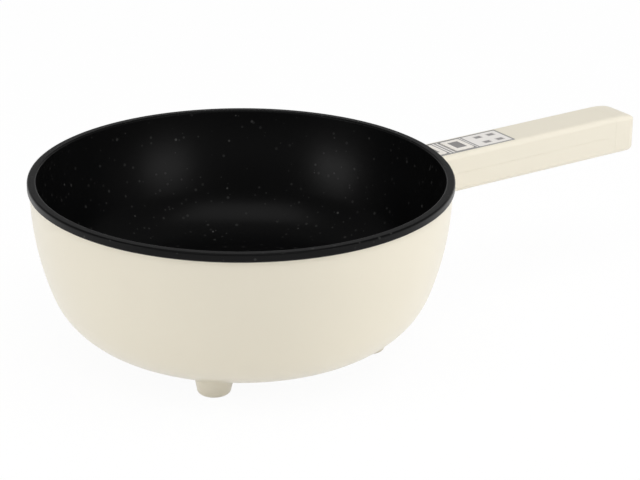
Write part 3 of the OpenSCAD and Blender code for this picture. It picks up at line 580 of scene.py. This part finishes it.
rim = {
    "radius": highOf("inner_pan", "x"), "top": highOf("inner_pan", "z"), "low": highOf("rim_seal", "z"),
    "edge": 1.2, "lowEdge": 0.5, "steps": 8,
}
pan = bowlCurve({
    "topR": 124.5, "topZ": rim["top"] - rim["edge"], "lean": 6.0, "sideR": 160.0, "cornerR": 42.0,
    "floor": 35.0, "wall": 2.3, "sideSteps": 20, "cornerSteps": 24,
    "postCircle": 42.0, "postAcross": 8.0, "postLow": lowOf("inner_pan", "z"), "postHole": 12.0,
    "lugFrom": 112.5, "lugTo": lowOf("handle_bracket", "x"), "lugHalfWidth": highOf("handle_bracket", "y"),
    "lugLow": lowOf("handle_bracket", "z"), "lugTop": highOf("handle_bracket", "z"), "lugHole": 4.0,
    "lugScrewOut": 6.5, "lugScrewUp": 89.0, "screwAcross": 3.0,
})


def makePan(p, r):
    bm = bmesh.new()
    edge, low = r["edge"], r["lowEdge"]
    first = corner(bm, None, p["topR"], p["topZ"])
    point = arcOn(bm, first, (p["topR"] + edge, p["topZ"]), 90, r["steps"])
    point = corner(bm, point, r["radius"] - edge, r["top"])
    point = arcOn(bm, point, (r["radius"] - edge, r["top"] - edge), 90, r["steps"])
    point = corner(bm, point, r["radius"], r["low"] + low)
    point = arcOn(bm, point, (r["radius"] - low, r["low"] + low), 90, r["steps"] // 2)
    outer = p["sideR"] + p["wall"]
    start = math.asin((p["sideCentre"][1] - r["low"]) / outer)
    point = corner(bm, point, p["sideCentre"][0] + outer * math.cos(start), r["low"])
    corner(bm, bowlArcs(bm, p, point, math.degrees(start)), 0, p["floor"] - p["wall"])
    corner(bm, bowlArcs(bm, p, first, p["lean"]), 0, p["floor"])
    piece = blank("panBowl", turned(bm))
    posts = spotsRound(p["postCircle"], spokes)
    carve(piece, rods(posts, p["postAcross"], p["postLow"], p["floor"] - p["wall"] / 2), "UNION")
    carve(piece, rods(posts, p["screwAcross"], p["postLow"] - over, p["postLow"] + p["postHole"]))
    lug = block((p["lugFrom"], -p["lugHalfWidth"], p["lugLow"]),
                (p["lugTo"], p["lugHalfWidth"], p["lugTop"]))
    carve(piece, trimmed(lug, bowlSolid(p, p["wall"] / 2)), "UNION")
    screws = [(side * p["lugScrewOut"], p["lugScrewUp"]) for side in (-1, 1)]
    carve(piece, rods(screws, p["screwAcross"], p["lugTo"] - p["lugHole"], p["lugTo"] + over, "X"))
    finishPiece(piece, "inner_pan", sharp=40)


makePan(pan, rim)
print("pan made")

smoothing = {"flatWithin": 0.4, "sharpFrom": 40, "segments": 2}  # angles in degrees
edgeBreaks = {  # how far each part's sharp edges are broken, in mm
    "base_cover": 0.3, "base_screws": 0.12, "heat_shield": 0.2, "heating_element": 0.0,
    "terminal_bushes": 0.25, "heater_clamp": 0.3, "clamp_nuts": 0.15, "sensor_spring": 0.0,
    "sensor_holder": 0.1, "thermostat": 0.2, "fuse_clip": 0.1, "earth_tab": 0.1, "earth_screw": 0.1,
    "handle_gasket": 0.0, "handle_screws": 0.12, "handle_bracket": 0.2, "bracket_screws": 0.1,
    "tongue_screws": 0.1, "inlet_leads": 0.0, "power_board": 0.15, "power_board_screws": 0.08,
    "board_ribbon": 0.0, "control_board": 0.15, "control_board_screws": 0.08, "tact_switches": 0.15,
    "light_guide": 0.1, "live_lead": 0.0, "neutral_lead": 0.0, "earth_lead": 0.0, "sensor_lead": 0.0,
}


def mergedCopy(node):
    bm = bmesh.new()
    bm.from_mesh(frame["nodes"][node].data)
    bmesh.ops.remove_doubles(bm, verts=bm.verts, dist=mergeWithin)
    return bm


def smoothParts(breaks, s):
    for node, edge in breaks.items():
        bm = mergedCopy(node)
        flat = math.radians(s["flatWithin"])
        bmesh.ops.dissolve_limit(bm, angle_limit=flat, verts=bm.verts, edges=bm.edges)
        piece = blank(node + "_smooth", bm)
        if edge:
            broken = piece.modifiers.new("brokenEdges", "BEVEL")
            broken.width = edge * mm
            broken.segments = s["segments"]
            broken.limit_method = "ANGLE"
            broken.angle_limit = math.radians(s["sharpFrom"])
        finishPiece(piece, node, s["sharpFrom"])


smoothParts(edgeBreaks, smoothing)
print("smaller parts smoothed:", len(edgeBreaks))

stud = {"crest": 0.02, "root": 0.28, "from": 0.5, "halfPitch": 0.35, "turns": 10}
threadInsets = (stud["crest"], stud["root"]) * stud["turns"]
thread = tuple((inset, stud["from"] + stud["halfPitch"] * i) for i, inset in enumerate(threadInsets))
forms = {  # foot: inset and height above the low end, head: inset and depth below the high end, in mm
    "foot_pads": {
        "corner": 5.5, "head": ((0, 0.3), (0.2, 0)),
        "foot": ((4.2, 0.3), (3.9, 0), (2.7, 0), (2.5, 0.35), (2.0, 0.35), (1.8, 0), (0.7, 0), (0.2, 0.2),
                 (0, 0.6))},
    "terminal_pins": {
        "corner": 1.5, "foot": ((0.8, 0), (0.25, 0.35), (0, 0.9)),
        "head": ((0, 1.5), (0.3, 1.3), (0.3, 1.0), (0, 0.8), (0, 0))},
    "clamp_studs": {"corner": 2.0, "foot": ((0.8, 0), (0.35, 0.3)) + thread, "head": ((0, 4.8), (0, 0))},
    "sensor_probe": {
        "corner": 6.0, "head": ((0, 0.6), (0.15, 0.2), (0.6, 0)),
        "foot": ((3.6, 0.9), (3.4, 0), (1.7, 0), (1.3, 0.4), (1.3, 2.2), (0.25, 2.5), (0, 2.8))},
    "thermal_fuse": {
        "corner": 2.0, "along": 0, "foot": ((1.2, 0), (0.7, 0.25), (0.5, 1.0), (0, 1.5)),
        "head": ((0, 1.5), (0.5, 1.0), (0.7, 0.25), (1.2, 0))},
    "inlet_pins": {
        "corner": 0.3, "along": 0, "foot": ((0.2, 0), (0, 0.3)),
        "head": ((0, 2.0), (0.15, 0.9), (0.45, 0.2), (0.75, 0))},
    "relay": {
        "corner": 0.9, "head": ((0, 1.2), (0.12, 0.6), (0.45, 0.2), (1.0, 0), (1.9, 0), (2.1, 0.25)),
        "foot": ((0.5, 0), (0.1, 0.3), (0, 0.6), (0, 1.5), (0.3, 1.65), (0.3, 1.95), (0, 2.1))},
    "filter_capacitor": {
        "corner": 0.5, "foot": ((0.7, 0), (0.7, 0.5), (0.1, 0.5), (0, 0.7)),
        "head": ((0, 0.8), (0.1, 0.35), (0.4, 0.1), (0.9, 0), (1.2, 0), (1.35, 0.2))},
    "terminal_block": {
        "corner": 0.4, "foot": ((0.3, 0), (0, 0.3)), "head": ((0, 2.6), (0.8, 1.9), (0.8, 0.3), (1.1, 0)),
        "poles": 3, "screwAcross": 3.2, "screwDepth": 3.0, "mouth": 3.2, "mouthLow": 1.0, "mouthDepth": 2.6},
    "indicator_leds": {
        "corner": 0.15, "foot": ((0, 0), (0, 0.45), (0.2, 0.5)),
        "head": ((0.28, 0.3), (0.42, 0.06), (0.6, 0), (0.75, 0.1))},
    "power_key_plunger": {
        "corner": 1.6, "foot": ((0.5, 0), (0.15, 0.2), (0, 0.6)),
        "head": ((0, 0.7), (0.15, 0.35), (0.5, 0.08), (0.9, 0))},
}
forms["mode_key_plunger"] = forms["power_key_plunger"]


def islandBoxes(node):  # the box round each separate solid of a part
    bm = mergedCopy(node)
    boxes, seen = [], set()
    for start in bm.verts:
        if start in seen:
            continue
        seen.add(start)
        island = [start]
        for v in island:  # grows while it is read
            for other in [e.other_vert(v) for e in v.link_edges]:
                if other not in seen:
                    seen.add(other)
                    island.append(other)
        spots = [v.co / mm for v in island]
        boxes.append([Vector([pick(c[i] for c in spots) for i in range(3)]) for pick in (min, max)])
    bm.free()
    return boxes


def addForm(bm, low, high, form, steps=6):  # a rounded face, pulled up level by level
    up = form.get("along", 2)
    order = ((up + 1) % 3, (up + 2) % 3, up)
    half = Vector([(high - low)[i] / 2 for i in order])
    levels = [(inset, height - half.z) for inset, height in form["foot"]]
    levels += [(inset, half.z - depth) for inset, depth in form["head"]]
    others = set(bm.verts)
    sheet = bmesh.ops.create_grid(bm, x_segments=1, y_segments=1, size=mm)["verts"]
    bmesh.ops.scale(bm, vec=(half.x, half.y, 1), verts=sheet)
    rounded = bmesh.ops.bevel(bm, geom=sheet, offset=form["corner"] * mm, offset_type="ABSOLUTE",
                              affect="VERTICES", segments=steps, profile=0.5, material=-1,
                              clamp_overlap=True)
    face = rounded["verts"][0].link_faces[0]
    was = half
    for i, (inset, level) in enumerate(levels):
        if i:
            pulled = bmesh.ops.extrude_face_region(bm, geom=[face] + face.edges[:])["geom"]
            face = [g for g in pulled if isinstance(g, bmesh.types.BMFace)][0]
        now = half - Vector((inset, inset, 0))
        bmesh.ops.scale(bm, vec=(now.x / was.x, now.y / was.y, 1), verts=face.verts)
        bmesh.ops.translate(bm, vec=(0, 0, level * mm - face.verts[0].co.z), verts=face.verts)
        was = now
    turn = Matrix([[float(order[j] == i) for j in range(3)] for i in range(3)]).to_4x4()
    spot = Matrix.Translation((low + high) / 2 * mm)
    bmesh.ops.transform(bm, matrix=spot @ turn, verts=[v for v in bm.verts if v not in others])


def openTerminals(piece, low, high, form):  # a screw hole and a wire mouth for each pole
    pitch = (high.y - low.y) / form["poles"]
    half, bottom = form["mouth"] / 2, low.z + form["mouthLow"]
    for i in range(form["poles"]):
        y = low.y + (i + 0.5) * pitch
        screw = ((low.x + high.x) / 2, y)
        carve(piece, rods([screw], form["screwAcross"], high.z - form["screwDepth"], high.z + over))
        carve(piece, block((low.x - over, y - half, bottom),
                           (low.x + form["mouthDepth"], y + half, bottom + form["mouth"])))


def makeForms(forms):
    for node, form in forms.items():
        bm = bmesh.new()
        boxes = islandBoxes(node)
        for low, high in boxes:
            addForm(bm, low, high, form)
        bmesh.ops.remove_doubles(bm, verts=bm.verts, dist=mergeWithin)
        bmesh.ops.recalc_face_normals(bm, faces=bm.faces)
        piece = blank(node + "_formed", bm)
        if "poles" in form:
            openTerminals(piece, *boxes[0], form)
        finishPiece(piece, node, sharp=35)


makeForms(forms)
print("small parts formed:", len(forms))

shell = bowlCurve({
    "topR": highOf("outer_shell", "x"), "topZ": highOf("outer_shell", "z"), "lean": 0.0, "sideR": 182.0,
    "cornerR": 50.0, "floor": 8.0, "wall": 2.2, "sideSteps": 28, "cornerSteps": 32,
    "band": 4.4, "step": 6.0, "stepTop": 9.6, "gasket": 0.8,
    "doorFrom": 108.0, "doorTo": 131.0, "doorHalfWidth": 12.8, "doorLow": 73.5, "doorTop": 94.0,
})
seal = {"spare": 0.15}  # between the seal and the pan's wall, in mm


def makeSeal(p, r, s, spare):
    outer = p["sideR"] + p["wall"]
    inner = p["sideCentre"][0] + math.sqrt(outer ** 2 - (p["sideCentre"][1] - r["low"]) ** 2) + spare
    bm = bmesh.new()
    first = corner(bm, None, inner, s["topZ"])
    point = corner(bm, first, inner, r["low"])
    point = corner(bm, point, s["topR"], r["low"])
    point = corner(bm, point, s["topR"], s["topZ"])
    bm.edges.new((point, first))
    finishPiece(blank("rimSealRing", turned(bm)), "rim_seal")


def makeShell(s):
    bm = bmesh.new()
    top, point = bowlLine(bm, s, 0)
    stepR = s["cornerCentre"][0] - s["band"]
    point = corner(bm, point, stepR, s["floor"])
    point = corner(bm, point, stepR, s["stepTop"])
    point = corner(bm, point, stepR - s["step"], s["stepTop"])
    point = corner(bm, point, stepR - s["step"], s["floor"] + s["wall"])
    inTop, inPoint = bowlLine(bm, s, -s["wall"])
    bm.edges.new((point, inPoint))
    bm.edges.new((inTop, top))
    piece = blank("shellBowl", turned(bm))
    carve(piece, block((s["doorFrom"], -s["doorHalfWidth"], s["doorLow"]),
                       (s["doorTo"], s["doorHalfWidth"], s["doorTop"])))
    finishPiece(piece, "outer_shell", sharp=40)


foot = {
    "out": 9.6, "baseR": 10.3, "topR": 11.2, "flare": 1.6, "edge": 2.8, "low": lowOf("outer_shell", "z"),
    "sunk": 0.7, "edgeSteps": 6, "turnSteps": 48, "padAcross": 11.0, "padDepth": 2.2,
}


def makeFeet(f, s):
    height = s["floor"] - f["low"]
    circle = s["cornerCentre"][0] + f["out"]
    bm = bmesh.new()
    point = corner(bm, corner(bm, None, 0, 0), f["baseR"] - f["edge"], 0)
    point = arcOn(bm, point, (f["baseR"] - f["edge"], f["edge"]), -90, f["edgeSteps"])
    point = corner(bm, point, f["topR"], height - f["flare"])
    point = arcOn(bm, point, (f["topR"] + f["flare"], height - f["flare"]), 90, f["edgeSteps"])
    corner(bm, corner(bm, point, f["topR"] + f["flare"], height + f["sunk"]), 0, height + f["sunk"])
    turned(bm, f["turnSteps"])
    bmesh.ops.translate(bm, vec=(circle * mm, 0, 0), verts=bm.verts)
    for v in bm.verts:  # the upper part follows the shell's curve
        out = max(v.co.xy.length / mm - s["cornerCentre"][0], 0)
        lift = s["cornerR"] - math.sqrt(s["cornerR"] ** 2 - out ** 2)
        share = (v.co.z / mm - f["edge"]) / (height - f["flare"] - f["edge"])
        v.co.z += (f["low"] + lift * min(max(share, 0), 1)) * mm
    first = bm.verts[:] + bm.edges[:] + bm.faces[:]
    copies = [bmesh.ops.duplicate(bm, geom=first)["geom"] for spoke in spokes[1:]]
    for geom, spoke in zip([first] + copies, spokes):
        turn = Matrix.Rotation(math.radians(spoke), 3, "Z")
        bmesh.ops.rotate(bm, cent=(0, 0, 0), matrix=turn, verts=vertsIn(geom))
    piece = blank("shellFeet", bm)
    pads = spotsRound(circle, spokes)
    carve(piece, rods(pads, f["padAcross"], f["low"] - over, f["low"] + f["padDepth"]))
    finishPiece(piece, "outer_shell", sharp=50)


makeSeal(pan, rim, shell, seal["spare"])
makeShell(shell)
makeFeet(foot, shell)
print("seal, shell and feet made")

handle = {
    "root": 117.0, "capFrom": highOf("handle_upper", "x"), "end": highOf("inlet_cap", "x"),
    "halfWidth": highOf("handle_upper", "y"), "low": lowOf("handle_lower", "z"),
    "split": lowOf("handle_upper", "z"), "high": highOf("handle_upper", "z"),
    "wall": 2.2, "edge": 3.5, "endRound": 6.0, "seam": 0.14, "weld": 0.5,
    "posts": ((209.0, 0.0), (258.0, 0.0)), "postAcross": 7.0, "headAcross": 6.4, "headDepth": 5.0,
    "shankAcross": 3.4, "screwAcross": 3.0, "screwDepth": 8.0,
    "tonguePosts": ((150.0, 0.0), (165.0, 0.0)), "tongueLow": 82.0, "tongueHole": 74.5,
    "boardPosts": ((155.2, -8.5), (155.2, 8.5), (177.2, -8.5), (177.2, 8.5)),
    "boardTop": highOf("control_board", "z"),
    "powerPosts": ((217.0, 9.0), (250.0, 9.0)), "powerLow": lowOf("power_board", "z"), "powerHole": 72.6,
    "smallPost": 3.6, "smallHole": 1.6, "smallDepth": 5.0,
}


def keyBox(p, x, grow, low, high):  # round a key, grown past its outline
    halfX, halfY = p["keyLength"] / 2 + grow, p["keyWidth"] / 2 + grow
    return (x - halfX, -halfY, low), (x + halfX, halfY, high)


def panelHoles(p, spare, low, high):
    bm = bmesh.new()
    for x in p["keys"]:
        addBlock(bm, *keyBox(p, x, spare, low, high))
    halfX, halfY = p["windowLength"] / 2 + p["gap"], p["windowWidth"] / 2 + p["gap"]
    for i in (-1, 1):
        for j in (-1, 1):
            x, y = p["window"] + i * p["windowAlong"] / 2, j * p["windowAcross"] / 2
            addBlock(bm, (x - halfX, y - halfY, low), (x + halfX, y + halfY, high))
    return bm


def halfBar(name, h, seamAt, roundAt):  # half of the hollow bar, from its seam to its rounded side
    low, high = sorted((seamAt, roundAt))
    bm = block((h["root"], -h["halfWidth"], low), (h["capFrom"], h["halfWidth"], high))
    roundOff(bm, h["edge"], lambda m, d: lengthwise(m, d) and near(m.z, roundAt), segments=10)
    roundOff(bm, h["seam"], lambda m, d: lengthwise(m, d) and near(m.z, seamAt), segments=2)
    roundOff(bm, h["seam"], lambda m, d: near(m.x, h["capFrom"]), segments=2)
    piece = blank(name, bm)
    inside = h["halfWidth"] - h["wall"]
    reach = (low - over, high - h["wall"]) if roundAt > seamAt else (low + h["wall"], high + over)
    carve(piece, block((h["root"] - over, -inside, reach[0]), (h["capFrom"] + over, inside, reach[1])))
    carve(piece, bowlSolid(shell, shell["gasket"]))
    return piece


def makeUpperHalf(h, p):
    piece = halfBar("handleUpperHalf", h, h["split"], h["high"])
    ceiling = h["high"] - h["wall"] + h["weld"]
    carve(piece, rods(h["posts"], h["postAcross"], h["split"], ceiling), "UNION")
    carve(piece, rods(h["boardPosts"], h["smallPost"], h["boardTop"], ceiling), "UNION")
    carve(piece, rods(h["posts"], h["screwAcross"], h["split"] - over, h["split"] + h["screwDepth"]))
    carve(piece, rods(h["boardPosts"], h["smallHole"], h["boardTop"] - over,
                      h["boardTop"] + h["smallDepth"]))
    pocket = block((p["from"] - p["gap"], -p["halfWidth"] - p["gap"], p["low"]),
                   (p["to"] + p["gap"], p["halfWidth"] + p["gap"], h["high"] + over))
    carve(piece, roundOff(pocket, p["corner"], upright, segments=5))
    carve(piece, panelHoles(p, p["lip"] + p["lipRoom"], ceiling - over, h["high"]))
    finishPiece(piece, "handle_upper")


def makeLowerHalf(h):
    piece = halfBar("handleLowerHalf", h, h["split"], h["low"])
    inFloor = h["low"] + over
    carve(piece, rods(h["posts"], h["postAcross"], inFloor, h["split"]), "UNION")
    carve(piece, rods(h["tonguePosts"], h["postAcross"], inFloor, h["tongueLow"]), "UNION")
    carve(piece, rods(h["powerPosts"], h["smallPost"], inFloor, h["powerLow"]), "UNION")
    carve(piece, rods(h["posts"], h["headAcross"], h["low"] - over, h["low"] + h["headDepth"]))
    carve(piece, rods(h["posts"], h["shankAcross"], inFloor, h["split"] + over))
    carve(piece, rods(h["tonguePosts"], h["screwAcross"], h["tongueHole"], h["split"]))
    carve(piece, rods(h["powerPosts"], h["smallHole"], h["powerHole"], h["split"]))
    finishPiece(piece, "handle_lower")


socket = {
    "width": 24.3, "height": 16.3, "depth": 15.0, "corner": 4.0, "lip": 0.6, "beyond": 2.0,
    "fall": 2.4, "fallAbove": 9.0, "cuts": 7, "cutPitch": 2.0,
    "spigotFrom": lowOf("inlet_cap", "x"), "spigotInset": 2.35,
}


def makeHandleEnd(h, s):
    bm = block((h["capFrom"], -h["halfWidth"], h["low"]), (h["end"], h["halfWidth"], h["high"]))
    roundOff(bm, h["endRound"], lambda m, d: upright(m, d) and near(m.x, h["end"]), segments=12)
    roundOff(bm, h["edge"], lambda m, d: near(d.z, 0) and not near(m.x, h["capFrom"]), segments=10)
    roundOff(bm, h["seam"], lambda m, d: near(m.x, h["capFrom"]), segments=2)
    for i in range(s["cuts"]):
        cutAcross(bm, h["capFrom"] + (i + 1) * s["cutPitch"])
    middle = (h["low"] + h["high"]) / 2
    fallFrom = middle + s["fallAbove"]
    for v in bm.verts:  # the top falls a little towards the end
        reach = max(v.co.x / mm - h["capFrom"], 0) / (h["end"] - h["capFrom"])
        height = max(v.co.z / mm - fallFrom, 0) / (h["high"] - fallFrom)
        v.co.z -= s["fall"] * reach * reach * height * mm
    piece = blank("handleEndCap", bm)
    mouth = block((h["end"] - s["depth"], -s["width"] / 2, middle - s["height"] / 2),
                  (h["end"] + s["beyond"], s["width"] / 2, middle + s["height"] / 2))
    roundOff(mouth, s["corner"], lambda m, d: lengthwise(m, d) and m.z > middle, segments=1)
    cutAcross(mouth, h["end"] - s["lip"])
    grow = s["lip"] + s["beyond"]  # the mouth opens at 45 degrees over its last part
    lips = [v for v in mouth.verts if v.co.x > h["end"] * mm]
    bmesh.ops.scale(mouth, vec=(1, 1 + 2 * grow / s["width"], 1 + 2 * grow / s["height"]), verts=lips,
                    space=Matrix.Translation((0, 0, -middle * mm)))
    inset = s["spigotInset"]
    carve(piece, block((s["spigotFrom"], inset - h["halfWidth"], h["low"] + inset),
                       (h["capFrom"] + over, h["halfWidth"] - inset, h["high"] - inset)), "UNION")
    carve(piece, mouth)
    finishPiece(piece, "inlet_cap")


def makePanel(p):
    bm = block((p["from"], -p["halfWidth"], p["low"]), (p["to"], p["halfWidth"], p["high"]))
    roundOff(bm, p["corner"], upright, segments=5)
    roundOff(bm, p["edge"], lambda m, d: near(m.z, p["high"]), segments=2)
    piece = blank("keyPanel", bm)
    carve(piece, panelHoles(p, p["gap"], p["low"] - over, p["high"] + over))
    finishPiece(piece, "control_panel")


def makeKey(name, p, x, node):
    top, lipTop = p["keyTop"], p["low"] - p["lipGap"]
    lipLow, wellLow = lipTop - p["lip"], top - p["inlayDepth"]
    bm = block(*keyBox(p, x, 0, lipLow, top))
    roundOff(bm, p["keyRound"], upright, segments=5)
    roundOff(bm, p["keyEdge"], lambda m, d: near(m.z, top), segments=3)
    piece = blank(name, bm)
    carve(piece, block(*keyBox(p, x, -p["inlayInset"], wellLow, top + over)))
    carve(piece, block(*keyBox(p, x, p["lip"], lipLow, lipTop)), "UNION")
    carve(piece, rods([(x, 0)], p["stem"], p["stemLow"], (lipLow + lipTop) / 2), "UNION")
    finishPiece(piece, node)
    inlay = block(*keyBox(p, x, -p["inlayInset"], wellLow, top))
    roundOff(inlay, p["inlayEdge"], lambda m, d: near(m.z, top), segments=3)
    finishPiece(blank(name + "Inlay", inlay), node + "_inlay")


makeUpperHalf(handle, panel)
makeLowerHalf(handle)
makeHandleEnd(handle, socket)
makePanel(panel)
makeKey("powerKeyCap", panel, panel["keys"][0], "power_key")
makeKey("modeKeyCap", panel, panel["keys"][1], "mode_key")
print("handle, panel and keys made")

studio = {
    "surround": 0.32, "ceiling": 0.8, "rise": 3.0, "aim": (0.02, 0.0, 0.06),
    "floorColour": (0.93, 0.93, 0.93), "floorWhite": 0.95, "floorSize": 8.0,
    "fibre": 300, "fibreShift": 0.01,
    "lamps": (  # name, azimuth, elevation, distance, width, height, power, seen in reflections
        ("leftSoftbox", -198, 14, 1.9, 1.0, 1.0, 8.0, False),
        ("rightSoftbox", -40, 14, 1.9, 1.0, 1.0, 10.5, False),
        ("topSoftbox", -60, 80, 2.2, 2.8, 2.8, 32.0, False),
        ("leftAccent", -183, 13.5, 1.9, 0.85, 0.32, 3.2, True),
        ("rightAccent", -76, 15, 1.9, 0.85, 0.32, 3.2, True),
        ("bandSoftbox", -128, 74, 2.0, 2.0, 1.2, 7.5, True),
    ),
}
pureWhite = (1, 1, 1, 1)


def rayKinds(n):
    node = n.add("ShaderNodeLightPath").socket.node
    return [Wire(n, node.outputs["Is %s Ray" % kind]) for kind in ("Camera", "Glossy", "Transmission")]


def lightSurround(s):
    world = bpy.data.worlds.new("studioSurround")
    world.use_nodes = True
    scene.world = world
    n = Nodes(world.node_tree)
    camera, glossy, through = rayKinds(n)
    rise = (n.parts(n.place())[2] * s["rise"]).held()
    bright = 1 - (1 - camera) * rise * s["ceiling"]  # reflections see a darker ceiling
    soft = n.add("ShaderNodeBackground", {}, {"Color": pureWhite, "Strength": s["surround"]})
    white = n.add("ShaderNodeBackground", {}, {"Color": pureWhite, "Strength": bright})
    seen = (camera + glossy + through).held()
    n.output(n.add("ShaderNodeMixShader", {}, {0: seen, 1: soft, 2: white}), "ShaderNodeOutputWorld")


def layFloor(s):
    bm = bmesh.new()
    bmesh.ops.create_grid(bm, x_segments=8, y_segments=8, size=s["floorSize"] / 2)
    floor = blank("studioFloor", bm)
    material, n = newFinish("floorPaper")
    camera, glossy, through = rayKinds(n)
    fibre = n.noise(n.place(), s["fibre"])
    tint = n.shade(fibre, s["floorColour"], 1 - s["fibreShift"], 1 + s["fibreShift"])
    paper = n.add("ShaderNodeBsdfDiffuse", {}, {"Color": tint})
    white = n.add("ShaderNodeEmission", {}, {"Color": pureWhite, "Strength": 1.0})
    seen = (camera + glossy + through).held() * s["floorWhite"]
    n.output(n.add("ShaderNodeMixShader", {}, {0: seen, 1: paper, 2: white}))
    floor.data.materials.append(material)


def hangLamps(s):
    for name, azimuth, elevation, distance, width, height, power, shines in s["lamps"]:
        data = bpy.data.lights.new(name, "AREA")
        data.shape = "RECTANGLE"
        data.size = width
        data.size_y = height
        data.energy = power
        lamp = bpy.data.objects.new(name, data)
        lamp.visible_glossy = shines
        across, up = math.radians(azimuth), math.radians(elevation)
        away = Vector((math.cos(across) * math.cos(up), math.sin(across) * math.cos(up), math.sin(up)))
        place = Matrix.Translation(Vector(s["aim"]) + away * distance)
        lamp.matrix_world = place @ away.to_track_quat("Z", "Y").to_matrix().to_4x4()
        scene.collection.objects.link(lamp)


lightSurround(studio)
layFloor(studio)
hangLamps(studio)
print("studio lit")
